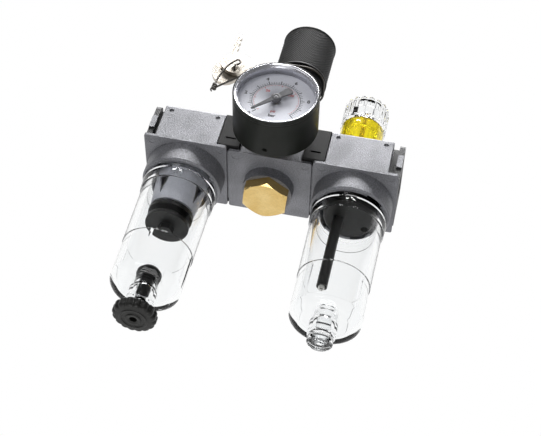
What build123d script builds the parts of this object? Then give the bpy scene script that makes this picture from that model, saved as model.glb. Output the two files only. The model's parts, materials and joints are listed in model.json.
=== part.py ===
# Filter regulator lubricator: three modules in a row, joined by clamps, with a gauge,
# a lockable knob and its keys. Millimetres, +Z up, air flows along +X, the gauge faces -Y.
# The origin is the centre of the inlet port's mouth.
import os
from math import cos, radians, sin

from build123d import *

os.makedirs("parts", exist_ok=True)

# clearances
running = 0.3       # between pieces that move past each other
close = 0.05        # a shaft or a plug in its own hole
rest_gap = 0.1      # between two stacked pieces

# modules
pitch = 40.0        # from one module to the next
port_height = 12.6  # port axis above the underside
core_top = 11.6     # flat top above the port axis
plate_wall = 1.4    # bottom plate
plate_gap = 0.4     # from the bottom plate's edge to the module's end
front = 20.0        # front face of the filter and the lubricator
regulator_front = 18.4
back = 19.0         # back face
flange_room = 5.35  # from the front face's edge to the module's end
face_top = 9.1      # top of the front face
flange_wall = 2.6   # end flange that a clamp holds
clamp_web = 3.4     # clamp's thickness in front of the flanges
clamp_leg = 2.45    # clamp's leg behind a flange
clamp_top = 9.05
clamp_foot = -10.65
neck_step = 3.8     # the neck is this much shallower than the flange
land_high = 7.5     # raised land on the flange's front edge
land_step = 0.7

# ports and passages
port_bore = 5.72    # G1/4 core radius
port_depth = 11.0
gallery = 3.2       # passage from module to module
coupling_depth = 8.5
small_gallery = 1.5  # passages to the valve's chambers
gauge_bore = 4.3    # G1/8 core radius
gauge_bore_depth = 9.0
screw_height = 6.9  # clamp screws above and below the port axis
screw_shank = 1.2
screw_head = 2.2
screw_head_high = 1.8
seal_ring = 4.4     # middle radius of the seal between modules
seal_wire = 0.62

# bowls
collar_wall = 1.0   # outside the groove for the lugs
collar_high = 10.6  # collar below the underside
chamber_roof = 2.2  # chamber's roof above the underside
bowl_neck = 16.2
bowl_wall = 2.3     # at the neck
bowl_ring_reach = 1.5
bowl_ring_drop = 3.05  # gap below the collar
bowl_ring_high = 5.9
bowl_draft = 0.35   # the wall's outside narrows by this above the step, and at it
bowl_step_drop = 31.4  # from the ring's foot to the step
bowl_length = 54.5     # from the ring's foot to the underside
bowl_floor = 3.0
bowl_corner = 10.0
bowl_rib = 0.35
boss_outer = 6.2
boss_high = 6.0
lug_high = 2.8
lug_reach = 1.2
lug_width = 24.0    # degrees
twist = 40.0        # bayonet turn, degrees
filter_ribs = -94.5
lubricator_ribs = -126.0

# filter's inside
element_wall = 2.8
element_gap = 0.7   # between the element and the deflector's foot
element_high = 26.8
stud = 1.75
skirt_gap = 1.1     # between the deflector and the bowl
skirt_taper = 2.4
skirt_wall = 1.3

# drain
stem = 2.9
stem_gap = 0.4
drain_cap = 5.3
drain_knob_outer = 9.9
drain_knob_high = 5.6
drain_knob_gap = 3.85
drain_lift = 1.0

# regulator
plug_collar = 11.85
plug_collar_high = 5.5
hex_corner = 11.7
hex_high = 5.0
valve_bore = 8.0
seat_foot = -4.0
seat_top = -1.5
seat_hole = 3.6
inlet_level = seat_foot - small_gallery - 0.6
outlet_level = seat_top + small_gallery + 1.2
poppet = 5.6
poppet_stroke = 1.2
diaphragm_seat = 5.1
diaphragm_wall = 1.1
bonnet_outer = 12.1
bonnet_wall = 2.3
bonnet_top = 74.0
bonnet_roof = 4.0
spring_wire = 0.95
spring_gap = 1.55   # between the main spring and the bonnet
spring_plate_foot = 56.0
spring_plate_high = 4.0
spindle = 3.9
spindle_collar = 7.0
knob_gap = 0.4      # between the knob and the bonnet
knob_wall = 1.25
knob_foot = 59.4
knob_top = 87.6
knob_skirt_high = 16.6
lock_outer = 6.0
lock_high = 7.3

# gauge
gauge_outer = 19.7
gauge_back = 25.5   # back of the case, from the regulator's axis
gauge_deep = 22.5
case_wall = 1.5
case_back = 2.0
case_lip = 0.45     # the case's thin edge round the bezel
dial_drop = 5.2     # dial's face behind the case's lip
bezel_wide = 1.65
pointer_gap = 4.2   # from the pointer's tip to the bezel
pointer_tail = 8.3
pointer_zero = 225.0  # degrees from +X, seen from the front
socket_flats = 12.0

# lubricator's top
sight_shift = -3.0  # sight glass from the module's axis
sight_outer = 10.5
sight_top = 32.3
sight_wall = 2.3
dome_outer = 11.2
dome_top = 46.05
dome_flutes = 20
insert_gap = 1.8
insert_foot = 26.6  # insert's underside, below the port axis
tube_shift = -4.7
tube_outer = 2.45
tube_inner = 1.5
tube_gap = 16.65    # from the pickup tube's foot to the bowl's floor

# key ring
wire = 0.5
key_wall = 1.9

filter_x = pitch / 2
regulator_x = filter_x + pitch
lubricator_x = regulator_x + pitch
outlet_x = 3 * pitch
underside = -port_height
plate_top = underside + plate_wall
collar_foot = underside - collar_high
roof = underside + chamber_roof
face_half = pitch / 2 - flange_room
plate_half = pitch / 2 - plate_gap
clamp_half = flange_room - 0.15
flange_front = front - clamp_web - 0.2
flange_back = back - clamp_web - 0.2
sight_x = lubricator_x + sight_shift

# heights that the bowls and their sockets share
socket_bore = bowl_neck + running
lug_outer = bowl_neck + lug_reach
lug_groove = lug_outer + running
collar_outer = lug_groove + collar_wall
bowl_inner = bowl_neck - bowl_wall
chamber = bowl_inner + 0.1
bowl_ring_top = bowl_neck + bowl_ring_reach
bowl_ring_foot = bowl_ring_top - 0.4
bowl_middle = bowl_neck + 0.2
bowl_upper = bowl_middle + bowl_draft
bowl_lower = bowl_middle - bowl_draft
drain_hole = stem + stem_gap
bowl_top = roof - 3.6
seal_groove_top = bowl_top - 0.8
seal_groove_foot = seal_groove_top - 1.6
lug_top = seal_groove_foot - 2.1
lug_foot = lug_top - lug_high
groove_top = lug_top + running
groove_foot = lug_foot - running
ring_top = collar_foot - bowl_ring_drop
ring_foot = ring_top - bowl_ring_high
bowl_step = ring_foot - bowl_step_drop
bowl_underside = ring_foot - bowl_length
floor = bowl_underside + bowl_floor
boss_foot = bowl_underside - boss_high

# widths that follow from the pieces they fit
skirt_top = bowl_inner - skirt_gap
skirt_foot = skirt_top - skirt_taper
baffle = skirt_foot + 0.1
element_outer = skirt_foot - skirt_wall - element_gap
element_inner = element_outer - element_wall
insert_outer = chamber - insert_gap
tube_foot = -(floor + tube_gap)
bonnet_inner = bonnet_outer - bonnet_wall
diaphragm_outer = bonnet_outer - 0.8
spring_middle = bonnet_inner - spring_gap - spring_wire
knob_bore = bonnet_outer + knob_gap
knob_outer = knob_bore + knob_wall
mouth = gauge_outer - case_lip
bezel_inner = mouth - bezel_wide
pointer_reach = bezel_inner - pointer_gap


def turned(x, outline, mode=Mode.ADD):
    # a profile of (radius, height) points, turned about the vertical axis at x
    with BuildSketch(Plane.XZ) as section:
        with BuildLine():
            Polyline(*[(x + r, z) for r, z in outline], close=True)
        make_face()
    revolve(section.sketch, axis=Axis((x, 0, 0), (0, 0, 1)), mode=mode)


def turned_front(outline, mode=Mode.ADD):
    # a profile of (radius, distance in front) points, turned about the gauge's axis
    with BuildSketch(Plane.XY) as section:
        with BuildLine():
            Polyline(*[(regulator_x + r, -y) for r, y in outline], close=True)
        make_face()
    revolve(section.sketch, axis=Axis((regulator_x, 0, 0), (0, 1, 0)), mode=mode)


def post(x, radius, low, high, mode=Mode.ADD, y=0.0):
    with BuildSketch(Plane.XY.offset(low)) as outline:
        with Locations((x, y)):
            Circle(radius)
    extrude(outline.sketch, amount=high - low, mode=mode)


def rod_x(radius, start, end, z=0.0, mode=Mode.ADD):
    with BuildSketch(Plane.YZ.offset(start)) as outline:
        with Locations((0, z)):
            Circle(radius)
    extrude(outline.sketch, amount=end - start, mode=mode)


def rod_y(x, z, radius, start, end, mode=Mode.ADD):
    # from y = start to y = end
    with BuildSketch(Plane.XZ.offset(-start)) as outline:
        with Locations((x, z)):
            Circle(radius)
    extrude(outline.sketch, amount=start - end, mode=mode)


def hexagon_y(x, z, flats, start, end, mode=Mode.ADD):
    with BuildSketch(Plane.XZ.offset(-start)) as outline:
        with Locations((x, z)):
            RegularPolygon(flats / 2, 6, major_radius=False)
    extrude(outline.sketch, amount=start - end, mode=mode)


def block(x_span, y_span, z_span, mode=Mode.ADD):
    with BuildSketch(Plane.XY.offset(z_span[0])) as outline:
        with Locations(((x_span[0] + x_span[1]) / 2, (y_span[0] + y_span[1]) / 2)):
            Rectangle(x_span[1] - x_span[0], y_span[1] - y_span[0])
    extrude(outline.sketch, amount=z_span[1] - z_span[0], mode=mode)


def sector(x, inner, outer, low, high, middle, width, mode=Mode.ADD):
    # part of a ring, width degrees wide about the direction middle
    reach = 2 * outer
    sides = [radians(middle - width / 2), radians(middle + width / 2)]
    with BuildSketch(Plane.XY.offset(low)) as outline:
        with Locations((x, 0)):
            Circle(outer)
            Circle(inner, mode=Mode.SUBTRACT)
            Polygon((0, 0), *[(reach * cos(a), reach * sin(a)) for a in sides],
                    align=None, mode=Mode.INTERSECT)
    extrude(outline.sketch, amount=high - low, mode=mode)


def o_ring(x, middle, thick, z):
    with BuildSketch(Plane.XZ) as section:
        with Locations((x + middle, z)):
            Circle(thick)
    revolve(section.sketch, axis=Axis((x, 0, 0), (0, 0, 1)))


def save(piece, name):
    piece.label = name
    export_step(piece, f"parts/{name}.step")


# module bodies
def module_body(x, front_face):
    # front and back blocks with soft edges, then the core, the end flanges and the plate
    block((x - face_half, x + face_half), (-front_face, back), (underside, face_top))
    body = BuildPart._get_context()
    fillet(body.edges().filter_by(Axis.X).group_by(Axis.Z)[-1], 1.2)
    fillet(body.edges().filter_by(Axis.Z), 0.5)
    block((x - face_half, x + face_half), (-flange_front, flange_back), (underside, core_top))
    neck_front = min(flange_front, front_face - clamp_web - 0.2) - neck_step
    block((x - pitch / 2, x + pitch / 2), (-neck_front, flange_back - neck_step),
          (plate_top, core_top - 0.4))
    for side in (-1, 1):
        with BuildSketch(Plane.YZ.offset(x + side * pitch / 2)) as flange:
            with Locations(((flange_back - flange_front) / 2, (plate_top + core_top - 4.0) / 2)):
                Rectangle(flange_back + flange_front, core_top - 4.0 - plate_top)
            with Locations(((flange_back - flange_front) / 2, core_top - 4.0)):
                RectangleRounded(flange_back + flange_front, 8.0, 2.5)
        extrude(flange.sketch, amount=-side * flange_wall)
    with BuildSketch(Plane.XY.offset(underside)) as foot:
        with Locations((x, (back - front_face - 0.3) / 2)):
            RectangleRounded(2 * plate_half, back + front_face + 0.3, 1.0)
    extrude(foot.sketch, amount=plate_wall)
    # two round ejector marks on the plate's underside
    for mark, size in ((-15.8, 2.2), (16.6, 1.8)):
        post(x + mark, size, underside - 1, underside + 0.12, Mode.SUBTRACT, y=-front_face + 2.4)


def end_land(face_x, inward):
    # the raised land on the front edge of an open end's flange
    block(sorted((face_x, face_x + inward * flange_wall)),
          (-flange_front - land_step, -flange_front + 1), (-land_high / 2, land_high / 2))


def coupling_end(face_x, inward, seal_side):
    # gallery, half-round screw channels and, on one of the two faces, the seal's groove
    rod_x(gallery, face_x, face_x + inward * coupling_depth, mode=Mode.SUBTRACT)
    for height in (-screw_height, screw_height):
        rod_y(face_x, height, screw_shank + 0.2, -front, back, mode=Mode.SUBTRACT)
    if seal_side:
        with BuildSketch(Plane.YZ.offset(face_x)) as groove:
            Circle(seal_ring + 0.7)
            Circle(seal_ring - 0.7, mode=Mode.SUBTRACT)
        extrude(groove.sketch, amount=inward * 1.3, mode=Mode.SUBTRACT)


def bowl_socket(x):
    # collar with a smooth bore, a ring groove for the lugs and three slots to enter it
    turned(x, [(0, collar_foot), (collar_outer - 0.8, collar_foot),
               (collar_outer, collar_foot + 0.8), (collar_outer, underside), (0, underside)])
    post(x, socket_bore, collar_foot - 1, bowl_top + 0.4, Mode.SUBTRACT)
    post(x, chamber, bowl_top, roof, Mode.SUBTRACT)
    post(x, lug_groove, groove_foot, groove_top, Mode.SUBTRACT)
    for start in (-90 + twist, 30 + twist, 150 + twist):
        sector(x, 1, lug_groove, collar_foot - 1, groove_foot, start, lug_width + 6,
               Mode.SUBTRACT)


def cast_marks(x, front_face):
    # two shallow round marks near the front face's top corners
    for side in (-11.2, 11.2):
        rod_y(x + side, face_top - 3.4, 1.1, -front_face - 1, -front_face + 0.5,
              mode=Mode.SUBTRACT)


with BuildPart() as filter_body:
    module_body(filter_x, front)
    bowl_socket(filter_x)
    # seat for the filter element, with the clean air's way up through its middle
    post(filter_x, element_outer + 0.6, roof - 4.0, roof)
    post(filter_x, gallery, roof - 5.0, 1.0, Mode.SUBTRACT)
    post(filter_x, stud + close, 0, 8.0, Mode.SUBTRACT)
    # the inlet drops into the chamber outside the element
    rod_x(port_bore, -1, port_depth, mode=Mode.SUBTRACT)
    post(port_depth - 2.2, 2.0, roof - 1, 0, Mode.SUBTRACT)
    rod_x(gallery, filter_x, pitch, mode=Mode.SUBTRACT)
    coupling_end(pitch, -1, True)
    end_land(0, 1)
    cast_marks(filter_x, front)
save(filter_body.part, "filter_body")

with BuildPart() as regulator_body:
    module_body(regulator_x, regulator_front)
    post(regulator_x, plug_collar, underside - plug_collar_high, underside)
    post(regulator_x, valve_bore, underside - plug_collar_high - 1, seat_foot, Mode.SUBTRACT)
    post(regulator_x, seat_hole, seat_foot - 1, seat_top + 1, Mode.SUBTRACT)
    post(regulator_x, valve_bore, seat_top, diaphragm_seat, Mode.SUBTRACT)
    post(regulator_x, diaphragm_outer + rest_gap, diaphragm_seat, core_top + 1, Mode.SUBTRACT)
    coupling_end(pitch, 1, False)
    coupling_end(2 * pitch, -1, True)
    # galleries: down and into the chamber below the seat, out of the chamber above it
    post(pitch + coupling_depth - 2.0, small_gallery, inlet_level, 0, Mode.SUBTRACT)
    rod_x(small_gallery, pitch + coupling_depth - 2.0, regulator_x, z=inlet_level,
          mode=Mode.SUBTRACT)
    rod_x(small_gallery, regulator_x, 2 * pitch - coupling_depth + 2.0, z=outlet_level,
          mode=Mode.SUBTRACT)
    # gauge ports, front and back, with a small hole to the outlet side
    rod_y(regulator_x, 0, gauge_bore, -front, -regulator_front + gauge_bore_depth,
          mode=Mode.SUBTRACT)
    rod_y(regulator_x, 0, gauge_bore, back - gauge_bore_depth, back + 1, mode=Mode.SUBTRACT)
    rod_y(regulator_x, 1.0, 0.9, -regulator_front, back - 1, mode=Mode.SUBTRACT)
save(regulator_body.part, "regulator_body")

fill_y = 11.0
fill_x = lubricator_x + 9.5
oil_duct = (lubricator_x - 3.0, 6.0)
with BuildPart() as lubricator_body:
    module_body(lubricator_x, front)
    bowl_socket(lubricator_x)
    rod_x(gallery, 2 * pitch, outlet_x, mode=Mode.SUBTRACT)
    rod_x(port_bore, outlet_x - port_depth, outlet_x + 1, mode=Mode.SUBTRACT)
    coupling_end(2 * pitch, 1, False)
    # recess for the sight glass, the oil's duct up to it and the filling hole
    post(sight_x, 7.5, 5.5, core_top + 1, Mode.SUBTRACT)
    post(oil_duct[0], 1.2, roof - 1, 6.0, Mode.SUBTRACT, y=oil_duct[1])
    post(sight_x, 1.3, 2.0, 6.0, Mode.SUBTRACT)
    post(fill_x, 2.6, roof - 1, core_top + 1, Mode.SUBTRACT, y=fill_y)
    end_land(outlet_x, -1)
    cast_marks(lubricator_x, front)
save(lubricator_body.part, "lubricator_body")


# bowls
def bowl(x, rib_start):
    outline = [(0, bowl_underside), (bowl_lower, bowl_underside), (bowl_lower, bowl_step),
               (bowl_middle, bowl_step), (bowl_upper, ring_foot), (bowl_ring_foot, ring_foot),
               (bowl_ring_top, ring_top), (bowl_neck, ring_top),
               (bowl_neck, seal_groove_foot), (bowl_neck - 1.3, seal_groove_foot),
               (bowl_neck - 1.3, seal_groove_top), (bowl_neck, seal_groove_top),
               (bowl_neck, bowl_top), (0, bowl_top)]
    with BuildSketch(Plane.XZ) as outside:
        with BuildLine():
            Polyline(*[(x + r, z) for r, z in outline], close=True)
        make_face()
        fillet(outside.vertices().sort_by_distance((x + bowl_lower, bowl_underside))[0],
               bowl_corner)
    revolve(outside.sketch, axis=Axis((x, 0, 0), (0, 0, 1)))
    with BuildSketch(Plane.XZ) as inside:
        with BuildLine():
            Polyline((x, floor), (x + bowl_inner, floor), (x + bowl_inner, bowl_top + 1),
                     (x, bowl_top + 1), close=True)
        make_face()
        fillet(inside.vertices().sort_by_distance((x + bowl_inner, floor))[0],
               bowl_corner - 2.5)
    revolve(inside.sketch, axis=Axis((x, 0, 0), (0, 0, 1)), mode=Mode.SUBTRACT)
    for quarter in range(4):
        sector(x, bowl_lower - 0.5, bowl_lower + bowl_rib, bowl_underside + bowl_corner,
               bowl_step, rib_start + 90 * quarter, 2.4)
    for start in (-90, 30, 150):
        sector(x, bowl_neck - 0.5, lug_outer, lug_foot, lug_top, start, lug_width)
    # a pointer tab on the ring, and the boss for the drain, with its seat inside
    sector(x, bowl_ring_foot - 1, bowl_ring_top + 0.5, ring_foot + 0.6, ring_top - 0.2,
           -88, 16)
    rod_y(x + 0.6, ring_foot + 0.6, 1.1, -bowl_ring_top - 1, -bowl_ring_top + 0.1,
          mode=Mode.SUBTRACT)
    post(x, boss_outer, boss_foot, bowl_underside + 1)
    post(x, drain_hole + 1.9, floor - 0.5, floor + 4.0)
    post(x, drain_hole, boss_foot - 1, floor + 5.0, Mode.SUBTRACT)


with BuildPart() as filter_bowl:
    bowl(filter_x, filter_ribs)
save(filter_bowl.part, "filter_bowl")

with BuildPart() as lubricator_bowl:
    bowl(lubricator_x, lubricator_ribs)
save(lubricator_bowl.part, "lubricator_bowl")

bowl_seal_middle = (bowl_neck - 1.3 + socket_bore) / 2
for name, x in (("filter_bowl_seal", filter_x), ("lubricator_bowl_seal", lubricator_x)):
    with BuildPart() as bowl_seal:
        o_ring(x, bowl_seal_middle, 0.72, (seal_groove_top + seal_groove_foot) / 2)
    save(bowl_seal.part, name)

# filter's inside
element_top = roof - 4.0 - rest_gap
element_foot = element_top - element_high
with BuildPart() as filter_element:
    post(filter_x, element_outer, element_foot, element_top)
    post(filter_x, element_inner, element_foot - 1, element_top + 1, Mode.SUBTRACT)
save(filter_element.part, "filter_element")

# deflector: a cone round the element with four three-sided windows
skirt_high = element_high - 1.0
skirt_low = element_top - skirt_high
window_top = skirt_low + 13.3
window_foot = skirt_low + 3.0
with BuildPart() as swirl_skirt:
    turned(filter_x, [(element_outer + close, element_top - 1.6), (skirt_top - 0.4, element_top - 1.6),
                      (skirt_foot - skirt_wall, skirt_low), (skirt_foot, skirt_low),
                      (skirt_top, element_top - 2.0), (skirt_top, element_top),
                      (element_outer + close, element_top)])
    for direction in (-120, -30, 60, 150):
        outward = Plane(origin=(filter_x, 0, 0),
                        x_dir=(-sin(radians(direction)), cos(radians(direction)), 0),
                        z_dir=(cos(radians(direction)), sin(radians(direction)), 0))
        with BuildSketch(outward) as window:
            with BuildLine():
                Polyline((-2.8, window_top), (2.8, window_top), (0, window_foot), close=True)
            make_face()
        extrude(window.sketch, amount=2 * skirt_top, mode=Mode.SUBTRACT)
save(swirl_skirt.part, "swirl_skirt")

baffle_top = element_foot - rest_gap
baffle_foot = baffle_top - 7.6
with BuildPart() as filter_baffle:
    turned(filter_x, [(stud + close, baffle_top), (baffle, baffle_top), (baffle, baffle_top - 2.2),
                      (baffle - 4.0, baffle_top - 2.2), (baffle - 4.0, baffle_foot + 2.0),
                      (baffle - 0.3, baffle_foot + 2.0), (baffle - 0.3, baffle_foot),
                      (stud + close, baffle_foot)])
save(filter_baffle.part, "filter_baffle")

with BuildPart() as element_retainer:
    post(filter_x, stud, baffle_foot - 1.0, 7.5)
    with BuildSketch(Plane.XY.offset(baffle_foot - 3.0)) as nut:
        with Locations((filter_x, 0)):
            RegularPolygon(3.8, 6)
    extrude(nut.sketch, amount=3.0)
save(element_retainer.part, "element_retainer")

# drain
seat = floor + 4.0
with BuildPart() as drain_seal:
    turned(filter_x, [(stem + 0.1, seat), (drain_cap - 0.3, seat), (drain_cap - 0.3, seat + 1.2),
                      (stem + 0.1, seat + 1.2)])
save(drain_seal.part, "drain_seal")

knob_high_end = boss_foot - drain_knob_gap
knob_low_end = knob_high_end - drain_knob_high
with BuildPart() as drain_stem:
    turned(filter_x, [(0, knob_low_end + 2.6), (stem, knob_low_end + 2.6), (stem, seat + 1.2),
                      (drain_cap, seat + 1.2), (drain_cap, seat + 2.4),
                      (drain_cap - 1.2, seat + 3.4), (0, seat + 3.4)])
save(drain_stem.part, "drain_stem")

with BuildPart() as drain_knob:
    turned(filter_x, [(stem + close / 2, knob_low_end + 1.0), (3.6, knob_low_end),
                      (5.4, knob_low_end), (5.4, knob_low_end + 0.5),
                      (drain_knob_outer - 0.9, knob_low_end + 0.5),
                      (drain_knob_outer, knob_low_end + 1.4),
                      (drain_knob_outer, knob_high_end - 0.8),
                      (drain_knob_outer - 0.8, knob_high_end), (stem + close / 2, knob_high_end)])
    with BuildSketch(Plane.XY.offset(knob_low_end - 1)) as scallops:
        with Locations((filter_x, 0)):
            with PolarLocations(drain_knob_outer + 1.5, 10):
                Circle(2.3)
    extrude(scallops.sketch, amount=drain_knob_high + 2, mode=Mode.SUBTRACT)
save(drain_knob.part, "drain_knob")

# regulator
hex_top = underside - plug_collar_high
hex_foot = hex_top - hex_high
with BuildPart() as bottom_plug:
    with BuildSketch(Plane.XY.offset(hex_foot)) as hexagon:
        with Locations((regulator_x, 0)):
            RegularPolygon(hex_corner, 6, rotation=35)
    extrude(hexagon.sketch, amount=hex_high - rest_gap)
    turned(regulator_x, [(hex_corner - 1.5, hex_foot), (hex_corner + 2, hex_foot),
                         (hex_corner + 2, hex_foot + 1.75)], Mode.SUBTRACT)
    post(regulator_x, valve_bore - close, hex_top - rest_gap, hex_top + 5.0)
    post(regulator_x, 4.3, hex_top - 2.0, hex_top + 6.0, Mode.SUBTRACT)
    with BuildSketch(Plane.XY.offset(hex_top - rest_gap)) as groove:
        with Locations((regulator_x, 0)):
            Circle(10.0)
            Circle(8.4, mode=Mode.SUBTRACT)
    extrude(groove.sketch, amount=-1.2, mode=Mode.SUBTRACT)
save(bottom_plug.part, "bottom_plug")

with BuildPart() as plug_seal:
    o_ring(regulator_x, 9.2, 0.62, hex_top - rest_gap - 0.55)
save(plug_seal.part, "plug_seal")

poppet_top = seat_foot - close
with BuildPart() as valve_poppet:
    turned(regulator_x, [(0, hex_top + 1.0), (2.0, hex_top + 1.0), (2.0, poppet_top - 3.3),
                         (poppet, poppet_top - 3.3), (poppet, poppet_top - 0.4),
                         (poppet - 0.4, poppet_top), (1.5, poppet_top),
                         (1.5, diaphragm_seat + 0.4), (0, diaphragm_seat + 0.4)])
save(valve_poppet.part, "valve_poppet")


def coil_spring(middle, thick, low, high, turns):
    # the wire's ends lie a wire's radius inside the two seats
    with BuildLine() as coil:
        Helix(pitch=(high - low - 2 * thick) / turns, height=high - low - 2 * thick,
              radius=middle, center=(regulator_x, 0, low + thick))
    with BuildSketch(Plane(coil.line @ 0, z_dir=coil.line % 0)) as section:
        Circle(thick * 0.94)
    sweep(section.sketch, path=coil.line)


with BuildPart() as valve_spring:
    coil_spring(3.2, 0.45, hex_top - 1.9, poppet_top - 3.4, 6)
save(valve_spring.part, "valve_spring")

diaphragm_top = diaphragm_seat + diaphragm_wall
with BuildPart() as diaphragm:
    turned(regulator_x, [(5.2, diaphragm_seat), (diaphragm_outer, diaphragm_seat),
                         (diaphragm_outer, diaphragm_top), (5.2, diaphragm_top)])
save(diaphragm.part, "diaphragm")

plate_foot = diaphragm_top + poppet_stroke + running
with BuildPart() as diaphragm_plate:
    turned(regulator_x, [(0, diaphragm_seat + 0.5), (4.9, diaphragm_seat + 0.5), (4.9, plate_foot),
                         (bonnet_inner - 1.0, plate_foot), (bonnet_inner - 1.0, plate_foot + 1.6),
                         (spring_middle - 2.0, plate_foot + 1.6),
                         (spring_middle - 2.0, plate_foot + 3.2), (0, plate_foot + 3.2)])
save(diaphragm_plate.part, "diaphragm_plate")

with BuildPart() as bonnet:
    turned(regulator_x, [(bonnet_inner, diaphragm_top + rest_gap),
                         (diaphragm_outer, diaphragm_top + rest_gap),
                         (diaphragm_outer, core_top + rest_gap / 2),
                         (bonnet_outer, core_top + rest_gap / 2),
                         (bonnet_outer, bonnet_top - 1.0), (bonnet_outer - 1.0, bonnet_top),
                         (spindle + running, bonnet_top),
                         (spindle + running, bonnet_top - bonnet_roof),
                         (bonnet_inner, bonnet_top - bonnet_roof)])
save(bonnet.part, "bonnet")

with BuildPart() as main_spring:
    coil_spring(spring_middle, spring_wire, plate_foot + 1.7, spring_plate_foot - rest_gap, 10)
save(main_spring.part, "main_spring")

with BuildPart() as spring_plate:
    turned(regulator_x, [(spindle + close, spring_plate_foot),
                         (bonnet_inner - 0.4, spring_plate_foot),
                         (bonnet_inner - 0.4, spring_plate_foot + spring_plate_high),
                         (spindle + close, spring_plate_foot + spring_plate_high)])
save(spring_plate.part, "spring_plate")

spring_roof = bonnet_top - bonnet_roof
knob_web = knob_foot + knob_skirt_high
with BuildPart() as thrust_washer:
    turned(regulator_x, [(spindle + running, spring_roof - 0.9), (spindle_collar, spring_roof - 0.9),
                         (spindle_collar, spring_roof - close), (spindle + running, spring_roof - close)])
save(thrust_washer.part, "thrust_washer")

with BuildPart() as adjusting_spindle:
    post(regulator_x, spindle, spring_plate_foot - 7, knob_web + 2.4)
    post(regulator_x, spindle_collar, spring_roof - 3.2, spring_roof - 0.9 - close)
save(adjusting_spindle.part, "adjusting_spindle")

with BuildPart() as adjusting_knob:
    turned(regulator_x, [(spindle + close / 2, knob_web), (knob_bore, knob_web),
                         (knob_bore, knob_foot), (knob_outer - 0.4, knob_foot),
                         (knob_outer, knob_foot + 0.4), (knob_outer, knob_top - 0.4),
                         (knob_outer - 0.4, knob_top), (lock_outer + close, knob_top),
                         (lock_outer + close, knob_web + 2.6), (spindle + close / 2, knob_web + 2.6)])
save(adjusting_knob.part, "adjusting_knob")

lock_foot = knob_web + 2.7
with BuildPart() as lock_cylinder:
    post(regulator_x, lock_outer, lock_foot, lock_foot + lock_high)
    block((regulator_x - 2.4, regulator_x + 2.4), (-0.6, 0.6),
          (lock_foot + 1.2, lock_foot + lock_high + 1), Mode.SUBTRACT)
save(lock_cylinder.part, "lock_cylinder")

with BuildPart() as rear_port_plug:
    rod_y(regulator_x, 0, gauge_bore - close, back - gauge_bore_depth + 1, back - 0.4)
    hexagon_y(regulator_x, 0, 5.0, back - 4.4, back + 1, mode=Mode.SUBTRACT)
save(rear_port_plug.part, "rear_port_plug")

# gauge
lip = gauge_back + gauge_deep
case_floor = gauge_back + case_back
dial_face = lip - dial_drop
dial_rear = dial_face - 0.8
with BuildPart() as gauge_case:
    turned_front([(socket_flats / 2 - 1.2, gauge_back), (gauge_outer - 0.8, gauge_back),
                  (gauge_outer, gauge_back + 0.8), (gauge_outer, lip - 0.2),
                  (gauge_outer - 0.2, lip), (mouth, lip), (mouth, dial_rear - rest_gap),
                  (gauge_outer - case_wall - 0.3, dial_rear - rest_gap),
                  (gauge_outer - case_wall - 0.3, case_floor), (socket_flats / 2 - 1.2, case_floor)])
    post(regulator_x - 1.0, 1.1, -gauge_outer - 1, -gauge_outer + 4, Mode.SUBTRACT,
         y=-gauge_back - 4.9)
save(gauge_case.part, "gauge_case")

with BuildPart() as gauge_bezel:
    turned_front([(bezel_inner, dial_face + rest_gap), (mouth - close, dial_face + rest_gap),
                  (mouth - close, lip - 0.2), (mouth - 0.4, lip + 0.1), (bezel_inner + 0.6, lip - 0.3),
                  (bezel_inner, lip - 0.9)])
save(gauge_bezel.part, "gauge_bezel")

with BuildPart() as gauge_lens:
    turned_front([(0, lip - 1.9), (bezel_inner - close, lip - 1.9), (bezel_inner - close, lip - 0.9),
                  (0, lip - 0.75)])
save(gauge_lens.part, "gauge_lens")

with BuildPart() as gauge_dial:
    turned_front([(0.9, dial_rear), (mouth - 0.1, dial_rear), (mouth - 0.1, dial_face), (0.9, dial_face)])
save(gauge_dial.part, "gauge_dial")

with BuildPart() as gauge_pointer:
    zero = radians(pointer_zero)
    along, aside = (cos(zero), sin(zero)), (-sin(zero), cos(zero))
    shape = [(pointer_reach, 0.3), (1.5, 1.1), (-pointer_tail + 2, 1.9), (-pointer_tail, 1.3),
             (-pointer_tail, -1.3), (-pointer_tail + 2, -1.9), (1.5, -1.1), (pointer_reach, -0.3)]
    with BuildSketch(Plane.XZ.offset(dial_face + 1.9)) as needle:
        with BuildLine():
            Polyline(*[(regulator_x + a * along[0] + b * aside[0], a * along[1] + b * aside[1])
                       for a, b in shape], close=True)
        make_face()
    extrude(needle.sketch, amount=0.5)
    rod_y(regulator_x, 0, 2.2, -dial_face - 0.4, -dial_face - 2.8)
save(gauge_pointer.part, "gauge_pointer")

arbor_rear = case_floor + 5.5
with BuildPart() as pointer_arbor:
    rod_y(regulator_x, 0, 0.6, -arbor_rear, -dial_face - 0.35)
    rod_y(regulator_x, 0, 1.1, -arbor_rear - 1.2, -arbor_rear - 3.4)
save(pointer_arbor.part, "pointer_arbor")

# movement: two plates on pillars carry the pinion's arbor and the sector's pivot
tube_bend = gauge_outer - case_wall - 3.8
pivot_z = 3.4 - tube_bend
tube_flat = (1.3, 3.4)
tube_arc = 250
tube_row = case_floor + 2.6
with BuildPart() as gauge_movement:
    for near in (arbor_rear - 0.2, arbor_rear + 4.4):
        with BuildSketch(Plane.XZ.offset(near)) as plate:
            with Locations((regulator_x, pivot_z / 2)):
                RectangleRounded(11, 8 - pivot_z, 2.5)
            with Locations((regulator_x, 0), (regulator_x, pivot_z)):
                Circle(0.66, mode=Mode.SUBTRACT)
        extrude(plate.sketch, amount=0.9)
    for corner in (-4.2, 4.2):
        rod_y(regulator_x + corner, pivot_z - 2.8, 0.8, -arbor_rear, -arbor_rear - 4.8)
        rod_y(regulator_x + corner, 2.4, 0.8, -arbor_rear, -arbor_rear - 4.8)
save(gauge_movement.part, "gauge_movement")

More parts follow.
